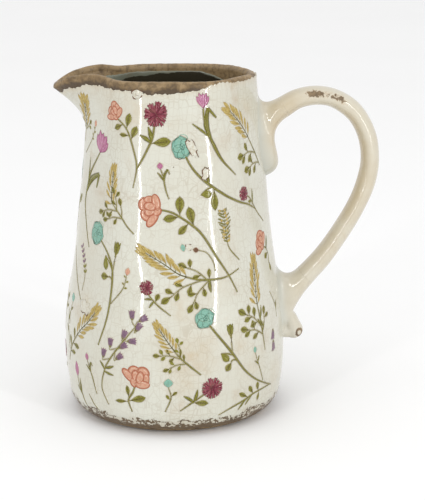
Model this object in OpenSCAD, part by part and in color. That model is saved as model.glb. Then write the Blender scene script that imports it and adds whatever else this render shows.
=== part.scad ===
// Stoneware pitcher with a pulled spout, a bare clay rim and foot, and an applied strap handle.
// Millimetres. The spout points along -X, the handle along +X, and Z is up from the table.

/* [Body] */
// Height of the rim at the middle of each side
height = 220; // [205:1:235]
// Outer radius of the flat ring that the pitcher stands on
foot_r = 53; // [50:1:56]
// Radius at the top of the rounded bottom corner
corner_r = 70; // [68:1:72]
// Height of the rounded bottom corner
corner_h = 17.5; // [15:0.5:20]
// Largest radius, low on the belly
belly_r = 71.7; // [70:0.1:73]
// Radius half way up
waist_r = 64.3; // [62:0.1:66]
// Radius under the rim
neck_r = 56.9; // [55:0.1:59]
// Radius of the rim away from the spout
rim_r = 53; // [51:0.5:55]
// Depth of the six soft lobes at the rim, as a share of the radius
lobe = 0.022; // [0:0.002:0.03]

/* [Walls] */
// Thickness of the wall
wall = 5; // [4:0.5:6]
// Thickness of the rim
rim_wall = 6; // [5:0.5:7]
// Height of the bare clay band at the rim
rim_band_h = 9; // [7:0.5:12]
// Thickness of the floor
floor_t = 7; // [6:0.5:8]
// Recess of the floor above the table
floor_recess = 1.5; // [1:0.5:2]
// Height of the bare clay foot
foot_h = 4; // [3:0.5:5]
// Inner radius of the foot
foot_inner_r = 45; // [42:1:47]

/* [Spout] */
// How far the tip stands out past the round rim
spout_reach = 23; // [16:1:26]
// Height over which the spout is pulled out of the wall, measured down from the rim
spout_drop = 34; // [30:1:44]
// Half angle over which the spout spreads round the rim, in degrees
spout_spread = 22; // [16:1:24]
// How far the tip of the spout dips below the rim
spout_dip = 5.2; // [2:0.2:7]
// How far the rim rises on each side of the spout
rim_rise = 2.6; // [0:0.2:4]
// How far the rim rises in the middle of the side at -90 degrees
front_rise = 1.1; // [0:0.1:3]

/* [Handle] */
// Width of the strap, across the pitcher
strap_w = 19; // [17:0.5:22]
// Thickness of the strap
strap_t = 12; // [11:0.5:13]
// Width of the pads where the strap is pressed onto the wall
root_w = 27; // [24:1:30]
// Radius of the curled tail under the lower pad
scroll_r = 5.8; // [4.5:0.1:6.5]

/* [Hidden] */

around = 96;                      // columns round the body
ring_n = 36;                      // points round a handle section
strap_steps = 40;                 // sections along the strap
lip_r = rim_wall / 2;             // the rim is rounded over its whole thickness
seam_z = height - rim_band_h;     // where the bare rim meets the glazed wall
floor_top = floor_recess + floor_t;
slab_r = foot_r + 7;              // the floor runs out under the wall's foot
inner_corner_h = 12;              // height of the rounded corner inside the pot
spout_power = 1.9;                // how sharply the spout sweeps out as it rises

// Points of the wall's profile above the corner, as [height, radius, slope].
profile = [
    [corner_h, corner_r, 0.12],
    [0.21 * height, belly_r, 0],
    [0.5 * height, waist_r, -0.125],
    [0.82 * height, neck_r, -0.1],
    [height, rim_r, -0.06]
];

// ---- Curves ----

function ease(t) = let (u = min(1, max(0, t))) u * u * (3 - 2 * u);

// Cubic between two [position, value, slope] points.
function hermite(a, b, x) =
    let (h = b[0] - a[0], t = (x - a[0]) / h)
    a[1] * (2 * t * t * t - 3 * t * t + 1) + h * a[2] * (t * t * t - 2 * t * t + t)
    + b[1] * (3 * t * t - 2 * t * t * t) + h * b[2] * (t * t * t - t * t);

function along_profile(z, i = 0) =
    i >= len(profile) - 2 || z <= profile[i + 1][0]
        ? hermite(profile[i], profile[i + 1], z)
        : along_profile(z, i + 1);

// Quarter ellipse that rises from radius r0 by w over height h.
function corner(z, r0, w, h) = r0 + w * sqrt(max(0, 1 - pow(1 - min(1, z / h), 2)));

function round_r(z) = z < corner_h ? corner(z, foot_r, corner_r - foot_r, corner_h) : along_profile(z);

function lobes(a, z) =
    let (depth = lobe * ease((z - 30) / (height - 60)))
    (1 + depth * cos(6 * a)) / (1 + depth);

function spout_pull(a, z) =
    let (off = abs(abs(a) - 180), lift = min(1, max(0, (z - height + spout_drop) / (spout_drop - 4))))
    spout_reach * pow(lift, spout_power) * exp(-pow(off / spout_spread, 1.6));

// Outer radius at angle a, in degrees from the handle, and height z before the rim's wave.
function outer_r(a, z) = round_r(z) * lobes(a, z) + spout_pull(a, z);

function thickness(z) = wall + (rim_wall - wall) * ease((z - seam_z + 30) / 30);

function inner_r(a, z) =
    z < floor_top + inner_corner_h
        ? corner(z - floor_top, slab_r, outer_r(a, floor_top + inner_corner_h) - wall - slab_r, inner_corner_h)
        : outer_r(a, z) - thickness(z);

// The rim dips at the spout's tip and rises beside it and beside the handle.
function rim_wave(a) =
    let (off = abs(abs(a) - 180))
    rim_rise * (exp(-pow((off - 26) / 13, 2)) + 0.4 * exp(-pow((abs(a) - 30) / 25, 2)))
    + front_rise * exp(-pow((a + 92) / 42, 2))
    - spout_dip * exp(-pow(off / 9.5, 2));

// Height once the rim's wave is added, and the wall below it follows.
function dipped(a, z) = z + rim_wave(a) * ease((z - height + 50) / 50);

function on_ring(a, r, z) = [r * cos(a), r * sin(a), dipped(a, z)];

// Columns are closer together at the spout, which curves the most.
function column(i) = let (u = 360 * i / around - 180) u - 22 * sin(u - 180);

columns = [for (i = [0 : around - 1]) column(i)];

function outer_ring(z) = [for (a = columns) on_ring(a, outer_r(a, z), z)];
function inner_ring(z) = [for (a = columns) on_ring(a, inner_r(a, z), z)];

// A ring of the rounded lip, at tilt 0 outside, 90 on top and 180 inside.
function lip_ring(tilt) =
    let (z = height - lip_r)
    [for (a = columns) on_ring(a, outer_r(a, z) - lip_r + lip_r * cos(tilt), z + lip_r * sin(tilt))];

corner_start = acos(1 - foot_h / corner_h);
corner_steps = [for (i = [0 : 6]) corner_h * (1 - cos(corner_start + (90 - corner_start) * i / 6))];
wall_steps = [for (i = [1 : 14]) corner_h + (height - spout_drop - corner_h) * i / 14];
neck_steps = [for (i = [1 : 7]) height - spout_drop + (seam_z - height + spout_drop) * i / 7];
inner_steps = [for (i = [6 : -1 : 1]) floor_top + inner_corner_h * (1 - cos(15 * i))];
band_steps = [for (i = [0 : 2]) seam_z + (height - lip_r - seam_z) * i / 3];

function reversed(list) = [for (i = [len(list) - 1 : -1 : 0]) list[i]];

// ---- Skins ----

function strip(n, low, high) =
    [for (j = [0 : n - 1]) let (k = (j + 1) % n) each [
        [low * n + j, high * n + j, high * n + k],
        [low * n + j, high * n + k, low * n + k]]];

// A closed surface through rings that follow each other round and back to the first.
module skin_round(rings) {
    n = len(rings[0]);
    m = len(rings);
    polyhedron(points = [for (r = rings) each r],
               faces = [for (i = [0 : m - 1]) each strip(n, i, (i + 1) % m)]);
}

// A closed surface through rings, with a flat face on the last ring and a fan to a tip at the first.
module skin_capped(tip, rings) {
    n = len(rings[0]);
    m = len(rings);
    polyhedron(
        points = concat([for (r = rings) each r], [tip]),
        faces = concat(
            [for (i = [0 : m - 2]) each strip(n, i, i + 1)],
            [for (j = [0 : n - 1]) [m * n, j, (j + 1) % n]],
            [reversed([for (j = [0 : n - 1]) (m - 1) * n + j])]));
}

// ---- Handle ----

// Middle of the strap, in the XZ plane, from the upper pad to the lower one.
strap_path = [
    [71, 198.5], [80, 203.5], [92, 205.5], [104, 203], [116, 194.5], [124, 180.5], [126.6, 164],
    [124, 148], [117.5, 132], [108, 115.5], [97, 99.5], [86, 87]
];

function spline(p, t) =
    let (n = len(p) - 1, i = min(n - 1, floor(t * n)), u = t * n - i,
         a = p[max(0, i - 1)], b = p[i], c = p[i + 1], d = p[min(n, i + 2)])
    0.5 * (2 * b + (c - a) * u + (2 * a - 5 * b + 4 * c - d) * u * u + (3 * b - 3 * c + d - a) * u * u * u);

function spline_dir(p, t) =
    let (d = spline(p, min(1, t + 0.004)) - spline(p, max(0, t - 0.004)))
    d / norm(d);

// An oval section: c is its middle and d its direction, both in the XZ plane. Angle 0 is its upper side.
function oval(c, d, t, w) =
    [for (j = [0 : ring_n - 1]) let (f = 360 * j / ring_n)
        [c[0] - d[1] * cos(f) * t / 2, w / 2 * sin(f), c[1] + d[0] * cos(f) * t / 2]];

// The strap swells a little towards each pad. A turn of -1 runs round the same section from its lower side.
function strap_ring(t, turn = 1) =
    let (swell = 1 + 0.12 * pow(abs(2 * t - 1), 6))
    oval(spline(strap_path, t), turn * spline_dir(strap_path, t), strap_t * swell, strap_w * swell);

// Point of the outer wall at side offset y and height z, on the handle's side.
function wall_x(y, z, x = 60, rounds = 4) =
    rounds == 0 ? x : wall_x(y, z, sqrt(pow(outer_r(atan2(y, x), z), 2) - y * y), rounds - 1);

function wall_point(y, z) = [wall_x(y, undip(z)), y, z];

// Height before the rim's wave, for a point near the handle.
function undip(z, guess = 0, rounds = 6) =
    let (g = guess == 0 ? z : guess)
    rounds == 0 ? g : undip(z, g + z - dipped(0, g), rounds - 1);

// A pad's outline on the wall, shrunk by share towards its middle height z, h tall and w wide.
function footprint(z, h, w, share = 1) =
    [for (j = [0 : ring_n - 1]) let (f = 360 * j / ring_n)
        wall_point(share * w / 2 * sin(f), z + share * h / 2 * cos(f))];

function bezier(a, b, c, d, t) =
    a * pow(1 - t, 3) + 3 * b * t * pow(1 - t, 2) + 3 * c * t * t * (1 - t) + d * pow(t, 3);

// A pad is [middle height, height, path end, path direction away from the wall, out, inward, lead].
// The last three say how its surface leaves the wall and meets the strap, each at the top and at the bottom.
upper_pad = [180, 53, spline(strap_path, 0), spline_dir(strap_path, 0), [1.5, 20], [6, 8], [9, 26]];
lower_pad = [69.6, 50.8, spline(strap_path, 1), -spline_dir(strap_path, 1), [1.5, 3], [6, 8.4], [9, 20.8]];

// Point of a pad's surface at angle f round it, from s = 0 on the wall to s = 1 at the strap.
function pad_point(pad, f, s) =
    let (low = (1 - cos(f)) / 2,
         pick = function (pair) pair[0] + (pair[1] - pair[0]) * low,
         d = [pad[3][0], 0, pad[3][1]],
         start = wall_point(root_w / 2 * sin(f), pad[0] + pad[1] / 2 * cos(f)),
         end = [pad[2][0], 0, pad[2][1]] + 0.56 * [-d[2] * strap_t * cos(f), strap_w * sin(f), d[0] * strap_t * cos(f)])
    bezier(start, start + [pick(pad[4]), -pick(pad[5]) * sin(f), -pick(pad[5]) * cos(f)],
           end - pick(pad[6]) * d, end, s);

function pad_ring(pad, s) = [for (j = [0 : ring_n - 1]) pad_point(pad, 360 * j / ring_n, s)];

module pad_skin(pad) {
    skin_capped(wall_point(0, pad[0]), concat(
        [for (share = [0.35, 0.7]) footprint(pad[0], pad[1], root_w, share)],
        [for (i = [0 : 12]) pad_ring(pad, i / 12)]));
}

// Middle and direction of the curled tail's last section, in the XZ plane.
scroll_end = [79, 49.3];
scroll_dir = [0.5, -0.866];

// The tail grows out of a patch of the lower pad's surface, shrunk by share towards its middle.
function scroll_patch(share = 1) =
    [for (j = [0 : ring_n - 1]) let (f = 360 * j / ring_n)
        pad_point(lower_pad, 180 - 50 * share * sin(f), 0.37 + 0.16 * share * cos(f))];

function scroll_section(tilt) =
    oval(scroll_end + scroll_dir * scroll_r * 0.95 * sin(tilt), scroll_dir,
         2.1 * scroll_r * cos(tilt), 2.3 * scroll_r * cos(tilt));

function scroll_neck(s) =
    let (start = scroll_patch(), end = scroll_section(0), d = [scroll_dir[0], 0, scroll_dir[1]])
    [for (j = [0 : ring_n - 1])
        let (bulge = 1 - cos(360 * j / ring_n))
        bezier(start[j], start[j] + [2.1, 0, 0.3 - bulge], end[j] - 6 * d, end[j], s)];

// ---- Sub-parts ----

// Bare clay ring that the pitcher stands on, with the start of the rounded bottom corner.
module foot_ring() {
    color("tan") rotate_extrude($fn = 96)
        polygon(concat(
            [[foot_inner_r, 0]],
            [for (i = [0 : 5]) let (z = foot_h * pow(i / 5, 2)) [round_r(z), z]],
            [[foot_inner_r, foot_h]]));
}

// Floor of the pot, let into the foot and running out under the wall.
module base_slab() {
    color("ivory") rotate_extrude($fn = 96)
        polygon([[0, floor_recess], [foot_inner_r, floor_recess], [foot_inner_r, foot_h], [slab_r, foot_h],
                 [slab_r, floor_top], [0, floor_top]]);
}

// Lobed wall, from the foot to the bare rim.
module body_wall() {
    color("ivory") skin_round(concat(
        [for (z = concat(corner_steps, wall_steps, neck_steps)) outer_ring(z)],
        [for (z = concat(reversed(neck_steps), reversed(wall_steps))) if (z > floor_top + inner_corner_h)
            inner_ring(z)],
        [for (z = inner_steps) inner_ring(z)],
        [[for (a = columns) on_ring(a, slab_r, floor_top)], [for (a = columns) on_ring(a, slab_r, foot_h)]]));
}

// Bare clay rim with the lip of the spout.
module rim_band() {
    color("peru") skin_round(concat(
        [for (z = band_steps) outer_ring(z)],
        [for (i = [0 : 6]) lip_ring(30 * i)],
        [for (z = reversed(band_steps)) inner_ring(z)]));
}

// Pad that joins the strap to the wall under the rim, with a thumb-shaped lower end.
module handle_upper_root() {
    color("ivory") pad_skin(upper_pad);
}

// Arched strap between the two pads.
module handle_strap() {
    start = spline(strap_path, 0);
    color("ivory") skin_capped([start[0], 0, start[1]],
                               [for (i = [0 : strap_steps]) strap_ring(i / strap_steps)]);
}

// Pad that joins the strap to the belly.
module handle_lower_root() {
    color("ivory") pad_skin(lower_pad);
}

// End of the strap, curled outwards under the lower pad.
module handle_tail_scroll() {
    color("ivory") skin_capped(pad_point(lower_pad, 180, 0.37), concat(
        [scroll_patch(0.35), scroll_patch(0.7)],
        [for (i = [0 : 9]) scroll_neck(i / 9)],
        [for (i = [1 : 5]) scroll_section(17 * i)]));
}

foot_ring();
base_slab();
body_wall();
rim_band();
handle_upper_root();
handle_strap();
handle_lower_root();
handle_tail_scroll();
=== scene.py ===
"""Looks of a glazed stoneware pitcher with painted wild flowers, a bare clay rim and a strap handle.

Sizes are in millimetres and angles in degrees round the body, 0 at the handle, 180 at the spout and
-90 at the side that faces the camera. add_mesh() turns them into metres in the part's own frame.
"""
import math
import random

import bmesh
import bpy
import numpy as np
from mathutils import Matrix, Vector, noise


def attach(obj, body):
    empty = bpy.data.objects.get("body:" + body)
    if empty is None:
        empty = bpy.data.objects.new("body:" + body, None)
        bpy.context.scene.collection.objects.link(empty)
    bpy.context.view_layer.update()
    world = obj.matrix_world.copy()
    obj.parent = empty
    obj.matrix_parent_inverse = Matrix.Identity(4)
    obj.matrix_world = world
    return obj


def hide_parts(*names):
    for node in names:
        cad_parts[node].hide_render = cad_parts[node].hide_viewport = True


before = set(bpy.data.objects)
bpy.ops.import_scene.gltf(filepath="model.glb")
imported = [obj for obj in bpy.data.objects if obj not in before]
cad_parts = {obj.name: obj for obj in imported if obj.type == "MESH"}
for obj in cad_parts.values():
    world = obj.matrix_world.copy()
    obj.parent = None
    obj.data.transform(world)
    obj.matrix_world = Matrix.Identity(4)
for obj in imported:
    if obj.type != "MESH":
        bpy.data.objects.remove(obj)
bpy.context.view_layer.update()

# ---------------------------------------------------------------- shape of the clay

HEIGHT = 220.0
FOOT_R = 53.0
CORNER_R = 70.0
CORNER_H = 17.5
# Points of the round form above its lower corner: height, radius and slope.
PROFILE = [
    (CORNER_H, CORNER_R, 0.12),
    (0.21 * HEIGHT, 71.7, 0.0),
    (0.5 * HEIGHT, 64.3, -0.125),
    (0.82 * HEIGHT, 56.9, -0.1),
    (HEIGHT, 53.0, -0.06),
]
LOBE = 0.022
WALL = 5.0
RIM_WALL = 6.0
RIM_BAND = 9.0
FOOT_H = 4.0
FLOOR_TOP = 8.5
SLAB_R = 60.0
INNER_CORNER = 12.0
SPOUT_REACH = 23.0
SPOUT_DROP = 34.0
SPOUT_SPREAD = 22.0
SPOUT_DIP = 5.2
RIM_RISE = 2.6
FRONT_RISE = 1.1
SEAM = HEIGHT - RIM_BAND
LIP = RIM_WALL / 2


def ease(t):
    """Smooth step from 0 at t = 0 to 1 at t = 1."""
    u = np.clip(t, 0.0, 1.0)
    return u * u * (3 - 2 * u)


def hill(t, middle, spread):
    """Smooth hump, 1 at its middle."""
    return np.exp(-(((t - middle) / spread) ** 2))


def hermite(a, b, z):
    """Radius at height z between two points (height, radius, slope) of the profile."""
    h = b[0] - a[0]
    t = (z - a[0]) / h
    rise = a[1] * (2 * t**3 - 3 * t**2 + 1) + b[1] * (3 * t**2 - 2 * t**3)
    return rise + h * a[2] * (t**3 - 2 * t**2 + t) + h * b[2] * (t**3 - t**2)


def round_r(z):
    """Radius of the round form at height z."""
    z = np.asarray(z, float)
    r = FOOT_R + (CORNER_R - FOOT_R) * np.sqrt(np.maximum(0, 1 - (1 - np.minimum(1, z / CORNER_H)) ** 2))
    for a, b in zip(PROFILE[:-1], PROFILE[1:]):
        r = np.where(z >= a[0], hermite(a, b, np.clip(z, a[0], b[0])), r)
    return r


def lobes(angle, z):
    """Share of the round radius that is left by six shallow lobes."""
    depth = LOBE * ease((z - 30) / (HEIGHT - 60))
    return (1 + depth * np.cos(np.radians(6 * angle))) / (1 + depth)


def spout_pull(angle, z):
    """How far the spout is pulled out of the wall."""
    off = np.abs((angle % 360) - 180)
    lift = np.clip((z - HEIGHT + SPOUT_DROP) / (SPOUT_DROP - 4), 0, 1)
    return SPOUT_REACH * lift**1.9 * np.exp(-((off / SPOUT_SPREAD) ** 1.6))


def hand(angle, z):
    """The slight unevenness that a hand leaves in the wall."""
    turn = np.radians(angle)
    slow = 0.22 * np.sin(2 * turn + 0.031 * z + 0.6) + 0.16 * np.sin(3 * turn - 0.047 * z + 2.1)
    quick = 0.1 * np.sin(7 * turn + 0.083 * z) + 0.07 * np.sin(11 * turn - 0.12 * z + 1.3)
    ridge = 0.85 * hill(angle, -79, 11) * ease((z - 105) / 95)
    return (slow + quick) * ease((z - 6) / 20) + ridge


def outer_r(angle, z):
    """Radius of the outer wall."""
    return round_r(z) * lobes(angle, z) + spout_pull(angle, z) + hand(angle, z)


def thickness(z):
    """Thickness of the wall, which grows towards the rim."""
    return WALL + (RIM_WALL - WALL) * ease((z - SEAM + 30) / 30)


def rim_wave(angle):
    """The rim dips at the spout's tip and rises beside it and beside the handle."""
    turn = (np.asarray(angle, float) + 180) % 360 - 180
    side = np.abs(turn)
    off = 180 - side
    rise = hill(off, 26, 13) + 0.4 * hill(side, 30, 25)
    front = FRONT_RISE * hill(turn, -92, 42)
    return RIM_RISE * rise + front - SPOUT_DIP * hill(off, 0, 9.5)


def dipped(angle, z):
    """Height once the rim's wave is added, and the wall below it follows."""
    return z + rim_wave(angle) * ease((z - HEIGHT + 50) / 50)


def ring_point(angle, r, z):
    """Point in space at an angle, a radius and a height before the rim's wave."""
    turn = np.radians(angle)
    return np.stack([r * np.cos(turn), r * np.sin(turn), dipped(angle, z)], axis=-1)


def wall(angle, z, lift=0.0):
    """Points on the outer wall, lifted off it along its normal."""
    angle = np.asarray(angle, float)
    z = np.asarray(z, float)
    here = ring_point(angle, outer_r(angle, z), z)
    along = ring_point(angle + 0.2, outer_r(angle + 0.2, z), z) - here
    upward = ring_point(angle, outer_r(angle, z + 0.2), z + 0.2) - here
    normal = np.cross(along, upward)
    normal /= np.linalg.norm(normal, axis=-1, keepdims=True)
    return here + normal * np.asarray(lift, float)[..., None]


def spline(points, t):
    """Catmull-Rom curve through the points, t from 0 to 1, as an array."""
    p = np.asarray(points, float)
    n = len(p) - 1
    t = np.clip(np.asarray(t, float), 0, 1) * n
    i = np.minimum(n - 1, np.floor(t).astype(int))
    u = (t - i)[..., None]
    a, b, c, d = p[np.maximum(0, i - 1)], p[i], p[i + 1], p[np.minimum(n, i + 2)]
    return 0.5 * (2 * b + (c - a) * u + (2 * a - 5 * b + 4 * c - d) * u**2 + (3 * b - 3 * c + d - a) * u**3)


# ---------------------------------------------------------------- meshes


def add_mesh(name, points_mm, faces, materials, slots=None):
    """A new smooth object that rides on the pitcher's one body."""
    mesh = bpy.data.meshes.new(name)
    mesh.from_pydata([tuple(p) for p in np.asarray(points_mm) / 1000], [], faces)
    for material in materials:
        mesh.materials.append(material)
    if slots is not None:
        mesh.polygons.foreach_set("material_index", slots)
    mesh.polygons.foreach_set("use_smooth", [True] * len(mesh.polygons))
    mesh.validate()
    mesh.update()
    piece = bpy.data.objects.new(name, mesh)
    bpy.context.scene.collection.objects.link(piece)
    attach(piece, "root")
    return piece


def set_field(piece, name, values):
    """A number at each vertex that the materials read by name."""
    field = piece.data.attributes.new(name, "FLOAT", "POINT")
    field.data.foreach_set("value", np.asarray(values, float).ravel())


def skin(rings, closed_loop=False, caps=None):
    """Points and faces through rings of equal length, which face outward when rings run up an outer wall.

    Caps are a "fan" round the middle of each end ring, or one "flat" face.
    """
    rings = np.asarray(rings)
    m, n = rings.shape[:2]
    faces = []
    for i in range(m if closed_loop else m - 1):
        low, high = i * n, (i + 1) % m * n
        for j in range(n):
            k = (j + 1) % n
            faces.append((low + j, low + k, high + k, high + j))
    points = rings.reshape(-1, 3)
    last = (m - 1) * n
    if caps == "fan":
        points = np.concatenate([points, [rings[0].mean(0), rings[-1].mean(0)]])
        for j in range(n):
            k = (j + 1) % n
            faces.append((m * n, k, j))
            faces.append((m * n + 1, last + j, last + k))
    if caps == "flat":
        faces.append(tuple(range(n - 1, -1, -1)))
        faces.append(tuple(range(last, last + n)))
    return points, faces


def round_turn(count):
    """Angles once round, in radians."""
    return np.linspace(0, 2 * math.pi, count, endpoint=False)


# ---------------------------------------------------------------- materials


class Nodes:
    """One material and its nodes. A value is a number, a colour or vector as a tuple, or a node's output."""

    def __init__(self, name):
        self.material = bpy.data.materials.new(name)
        self.material.use_nodes = True
        self.tree = self.material.node_tree
        self.place = self.add("TexCoord").outputs["Object"]

    def feed(self, socket, value):
        """Links an output to a socket, or sets its number, vector or colour."""
        if isinstance(value, bpy.types.NodeSocket):
            self.tree.links.new(value, socket)
        else:
            socket.default_value = (*value, 1) if socket.type == "RGBA" else value

    def add(self, kind, inputs=(), **settings):
        """A new node with its settings, and its inputs by name or number."""
        made = self.tree.nodes.new("ShaderNode" + kind)
        for key, value in settings.items():
            setattr(made, key, value)
        for key, value in dict(inputs).items():
            self.feed(made.inputs[key], value)
        return made

    def field(self, name):
        return self.add("Attribute", attribute_name=name).outputs["Fac"]

    def maths(self, operation, a, b):
        return self.add("Math", {0: a, 1: b}, operation=operation).outputs[0]

    def plus(self, a, b):
        return self.maths("ADD", a, b)

    def times(self, a, b):
        return self.maths("MULTIPLY", a, b)

    def vector(self, operation, *values):
        return self.add("VectorMath", enumerate(values), operation=operation).outputs[0]

    def mix(self, share, a, b):
        """Colour a where share is 0 and b where it is 1."""
        return self.add("Mix", {0: share, 6: a, 7: b}, data_type="RGBA").outputs[2]

    def remap(self, value, low, high, out_low=0.0, out_high=1.0, smooth=True):
        ends = {"Value": value, "From Min": low, "From Max": high, "To Min": out_low, "To Max": out_high}
        kind = "SMOOTHSTEP" if smooth else "LINEAR"
        return self.add("MapRange", ends, interpolation_type=kind).outputs["Result"]

    def noise(self, size_mm, detail=3.0, roughness=0.55, distortion=0.0, offset=None):
        """Noise with features of about size_mm, from 0 to 1."""
        place = self.vector("ADD", self.place, offset) if offset else self.place
        inputs = {"Vector": place, "Scale": 1000 / size_mm, "Detail": detail, "Roughness": roughness}
        return self.add("TexNoise", {**inputs, "Distortion": distortion}).outputs["Fac"]

    def bump(self, height, distance_mm, strength, under=None):
        made = self.add("Bump", {"Height": height, "Distance": distance_mm / 1000, "Strength": strength})
        if under is not None:
            self.feed(made.inputs["Normal"], under)
        return made.outputs["Normal"]

    def crackle(self, cell_mm, line_mm, offset=(0.0, 0.0, 0.0)):
        """1 on the thin bent lines between cells: the net of fine cracks in the glaze."""
        bend = self.add("TexNoise", {"Vector": self.place, "Scale": 1000 / 14, "Detail": 2}).outputs["Color"]
        shift = self.vector("MULTIPLY_ADD", bend, (0.003, 0.003, 0.003), offset)
        bent = self.vector("ADD", self.place, shift)
        tall = self.vector("MULTIPLY", bent, (1.0, 1.0, 0.62))
        cells = {"Vector": tall, "Scale": 1000 / cell_mm, "Randomness": 0.5}
        edge = self.add("TexVoronoi", cells, feature="DISTANCE_TO_EDGE").outputs["Distance"]
        return self.remap(edge, line_mm / cell_mm * 0.35, line_mm / cell_mm, 1.0, 0.0)

    def specks(self):
        """1 on a few small iron spots, far apart."""
        cells = self.add("TexVoronoi", {"Vector": self.place, "Scale": 1000 / 11}, feature="F1")
        chosen = self.add("SeparateColor", {0: cells.outputs["Color"]}).outputs[0]
        size = self.remap(chosen, 0.62, 1.0, 0.0, 0.05, smooth=False)
        return self.remap(self.maths("SUBTRACT", size, cells.outputs["Distance"]), 0.0, 0.02, 0.0, 0.85)

    def surface(self, colour, rough, normal=None, specular=0.5):
        """The finished material."""
        shader = self.tree.nodes["Principled BSDF"].inputs
        self.feed(shader["Base Color"], colour)
        self.feed(shader["Roughness"], rough)
        self.feed(shader["Specular IOR Level"], specular)
        if normal is not None:
            self.feed(shader["Normal"], normal)
        return self.material


CLAY_LIGHT = (0.295, 0.2, 0.097)
CLAY_MID = (0.17, 0.108, 0.045)
CLAY_DARK = (0.07, 0.042, 0.018)
# Near-black colour of the painted shadow inside the pot and on its inside floor.
INSIDE_SHADOW = (0.035, 0.03, 0.018)
CRACK = (0.30, 0.22, 0.12)


def clay_colour(n):
    """Mottled brown of the bare clay, lighter where the field "shade" is high, which on the rim carries
    painted light.
    """
    broad = n.plus(n.noise(10, 6, 0.6, 0.5), n.times(n.field("shade"), 0.2))
    tone = n.mix(n.remap(broad, 0.4, 0.62), CLAY_MID, CLAY_LIGHT)
    tone = n.mix(n.remap(broad, 0.45, 0.28), tone, CLAY_DARK)
    return n.mix(n.remap(n.noise(2.4, 4, 0.6), 0.52, 0.36, 0.0, 0.5), tone, CLAY_DARK)


def glaze_parts(n, tone, warmth, stain, cracked=1.0):
    """Colour and surface normal of the crackled glaze, with soft stains where it has drawn in dirt."""
    colour = n.mix(n.remap(n.noise(38, 3, 0.5, 0.3), 0.3, 0.7), tone, warmth)
    dirt = n.remap(n.noise(30, 4, 0.6, 0.6, (0.3, 0.1, 0.7)), 0.52, 0.8)
    patches = n.times(dirt, n.remap(n.noise(5, 4, 0.65), 0.3, 0.7, 0.35, 1.0))
    colour = n.mix(n.times(patches, 0.55), colour, stain)
    wide = n.times(n.crackle(6.0, 0.24), 0.25)
    fine = n.times(n.crackle(2.9, 0.15, (0.05, 0.02, 0.03)), 0.25)
    seen = n.remap(n.noise(22, 2), 0.3, 0.65, 0.3, 1.0)
    lines = n.times(n.maths("MAXIMUM", wide, fine), n.times(seen, cracked))
    colour = n.mix(n.specks(), n.mix(lines, colour, CRACK), (0.13, 0.08, 0.04))
    ripple = n.bump(n.noise(16, 2, 0.45), 0.25, 0.55)
    return colour, n.bump(lines, -0.05, 0.5, ripple)


def body_glaze():
    """Cool off-white glaze with brown where it has worn through near the foot."""
    n = Nodes("body_glaze")
    colour, normal = glaze_parts(n, (0.595, 0.592, 0.515), (0.565, 0.55, 0.465), (0.42, 0.30, 0.18))
    soiled = n.times(n.field("stain"), n.remap(n.noise(6, 4, 0.65), 0.3, 0.75, 0.3, 1.0))
    colour = n.mix(soiled, colour, (0.49, 0.395, 0.26))
    slow = n.remap(n.noise(11, 2, 0.5, 0.4), 0.25, 0.75, -3.6, 3.6, smooth=False)
    quick = n.remap(n.noise(2.4, 2, 0.5, 1.0), 0.25, 0.75, -1.3, 1.3, smooth=False)
    torn = n.plus(n.field("wear"), n.plus(slow, quick))
    curl = n.maths("ABSOLUTE", n.maths("SUBTRACT", n.noise(3.8, 1.5, 0.5, 0.9), 0.5), 0)
    lace = n.times(n.remap(curl, 0.078, 0.062), n.remap(torn, -1.9, -1.7))
    bare = n.maths("MAXIMUM", n.remap(torn, 2.5, 2.7), lace)
    colour = n.mix(n.times(n.remap(torn, -3.5, 0.5), 0.22), colour, (0.42, 0.32, 0.19))
    colour = n.mix(bare, colour, n.mix(0.8, clay_colour(n), (0.085, 0.05, 0.02)))
    rough = n.remap(bare, 0, 1, 0.075, 0.55, smooth=False)
    return n.surface(colour, rough, n.bump(bare, -0.35, 0.8, normal), 0.75)


def inner_glaze():
    """Grey-green glaze inside the pot, with painted shadow that makes it almost black further down."""
    n = Nodes("inner_glaze")
    colour, normal = glaze_parts(n, (0.21, 0.22, 0.17), (0.17, 0.18, 0.135), (0.14, 0.10, 0.055), 0.5)
    dark = n.plus(n.field("depth"), n.remap(n.noise(9, 2), 0.3, 0.7, -0.25, 0.25))
    return n.surface(n.mix(n.remap(dark, 0.35, 0.65), colour, INSIDE_SHADOW), 0.25, normal)


def handle_glaze():
    """Warmer cream glaze, darker beige where shade is painted, a painted blue-grey reflection at the joints,
    and worn brown where hands rub it.
    """
    n = Nodes("handle_glaze")
    colour, normal = glaze_parts(n, (0.635, 0.615, 0.53), (0.61, 0.575, 0.475), (0.43, 0.30, 0.17), 0.2)
    # Darker beige: a tint over the handle, deepened by painted shade.
    warmth_and_shade = n.times(n.field("warmth_and_shade"), n.remap(n.noise(17, 3), 0.3, 0.7, 0.55, 1.0))
    colour = n.mix(warmth_and_shade, colour, (0.50, 0.42, 0.285))
    # Painted reflection: blue-grey on the glaze at the joints with the wall.
    colour = n.mix(n.times(n.field("joint_reflection"), 0.7), colour, (0.46, 0.485, 0.44))
    ragged_edge = n.remap(n.noise(3.4, 4, 0.62, 1.0), 0.25, 0.75, -1.0, 1.0, smooth=False)
    torn = n.plus(n.field("wear"), ragged_edge)
    bare = n.remap(torn, 0.0, 0.1)
    colour = n.mix(n.times(n.remap(torn, -0.5, 0.0), 0.45), colour, (0.45, 0.32, 0.19))
    colour = n.mix(bare, colour, n.mix(0.3, clay_colour(n), CLAY_DARK))
    rough = n.remap(bare, 0, 1, 0.08, 0.5, smooth=False)
    return n.surface(colour, rough, n.bump(bare, -0.25, 0.7, normal), 0.75)


def floor_glaze():
    """The inside floor in near-black painted shadow, and bare clay on its underside."""
    n = Nodes("floor_glaze")
    above = n.remap(n.add("SeparateXYZ", {0: n.place}).outputs[2], 0.0045, 0.005)
    return n.surface(n.mix(above, clay_colour(n), INSIDE_SHADOW), n.remap(above, 0, 1, 0.65, 0.25))


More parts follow.
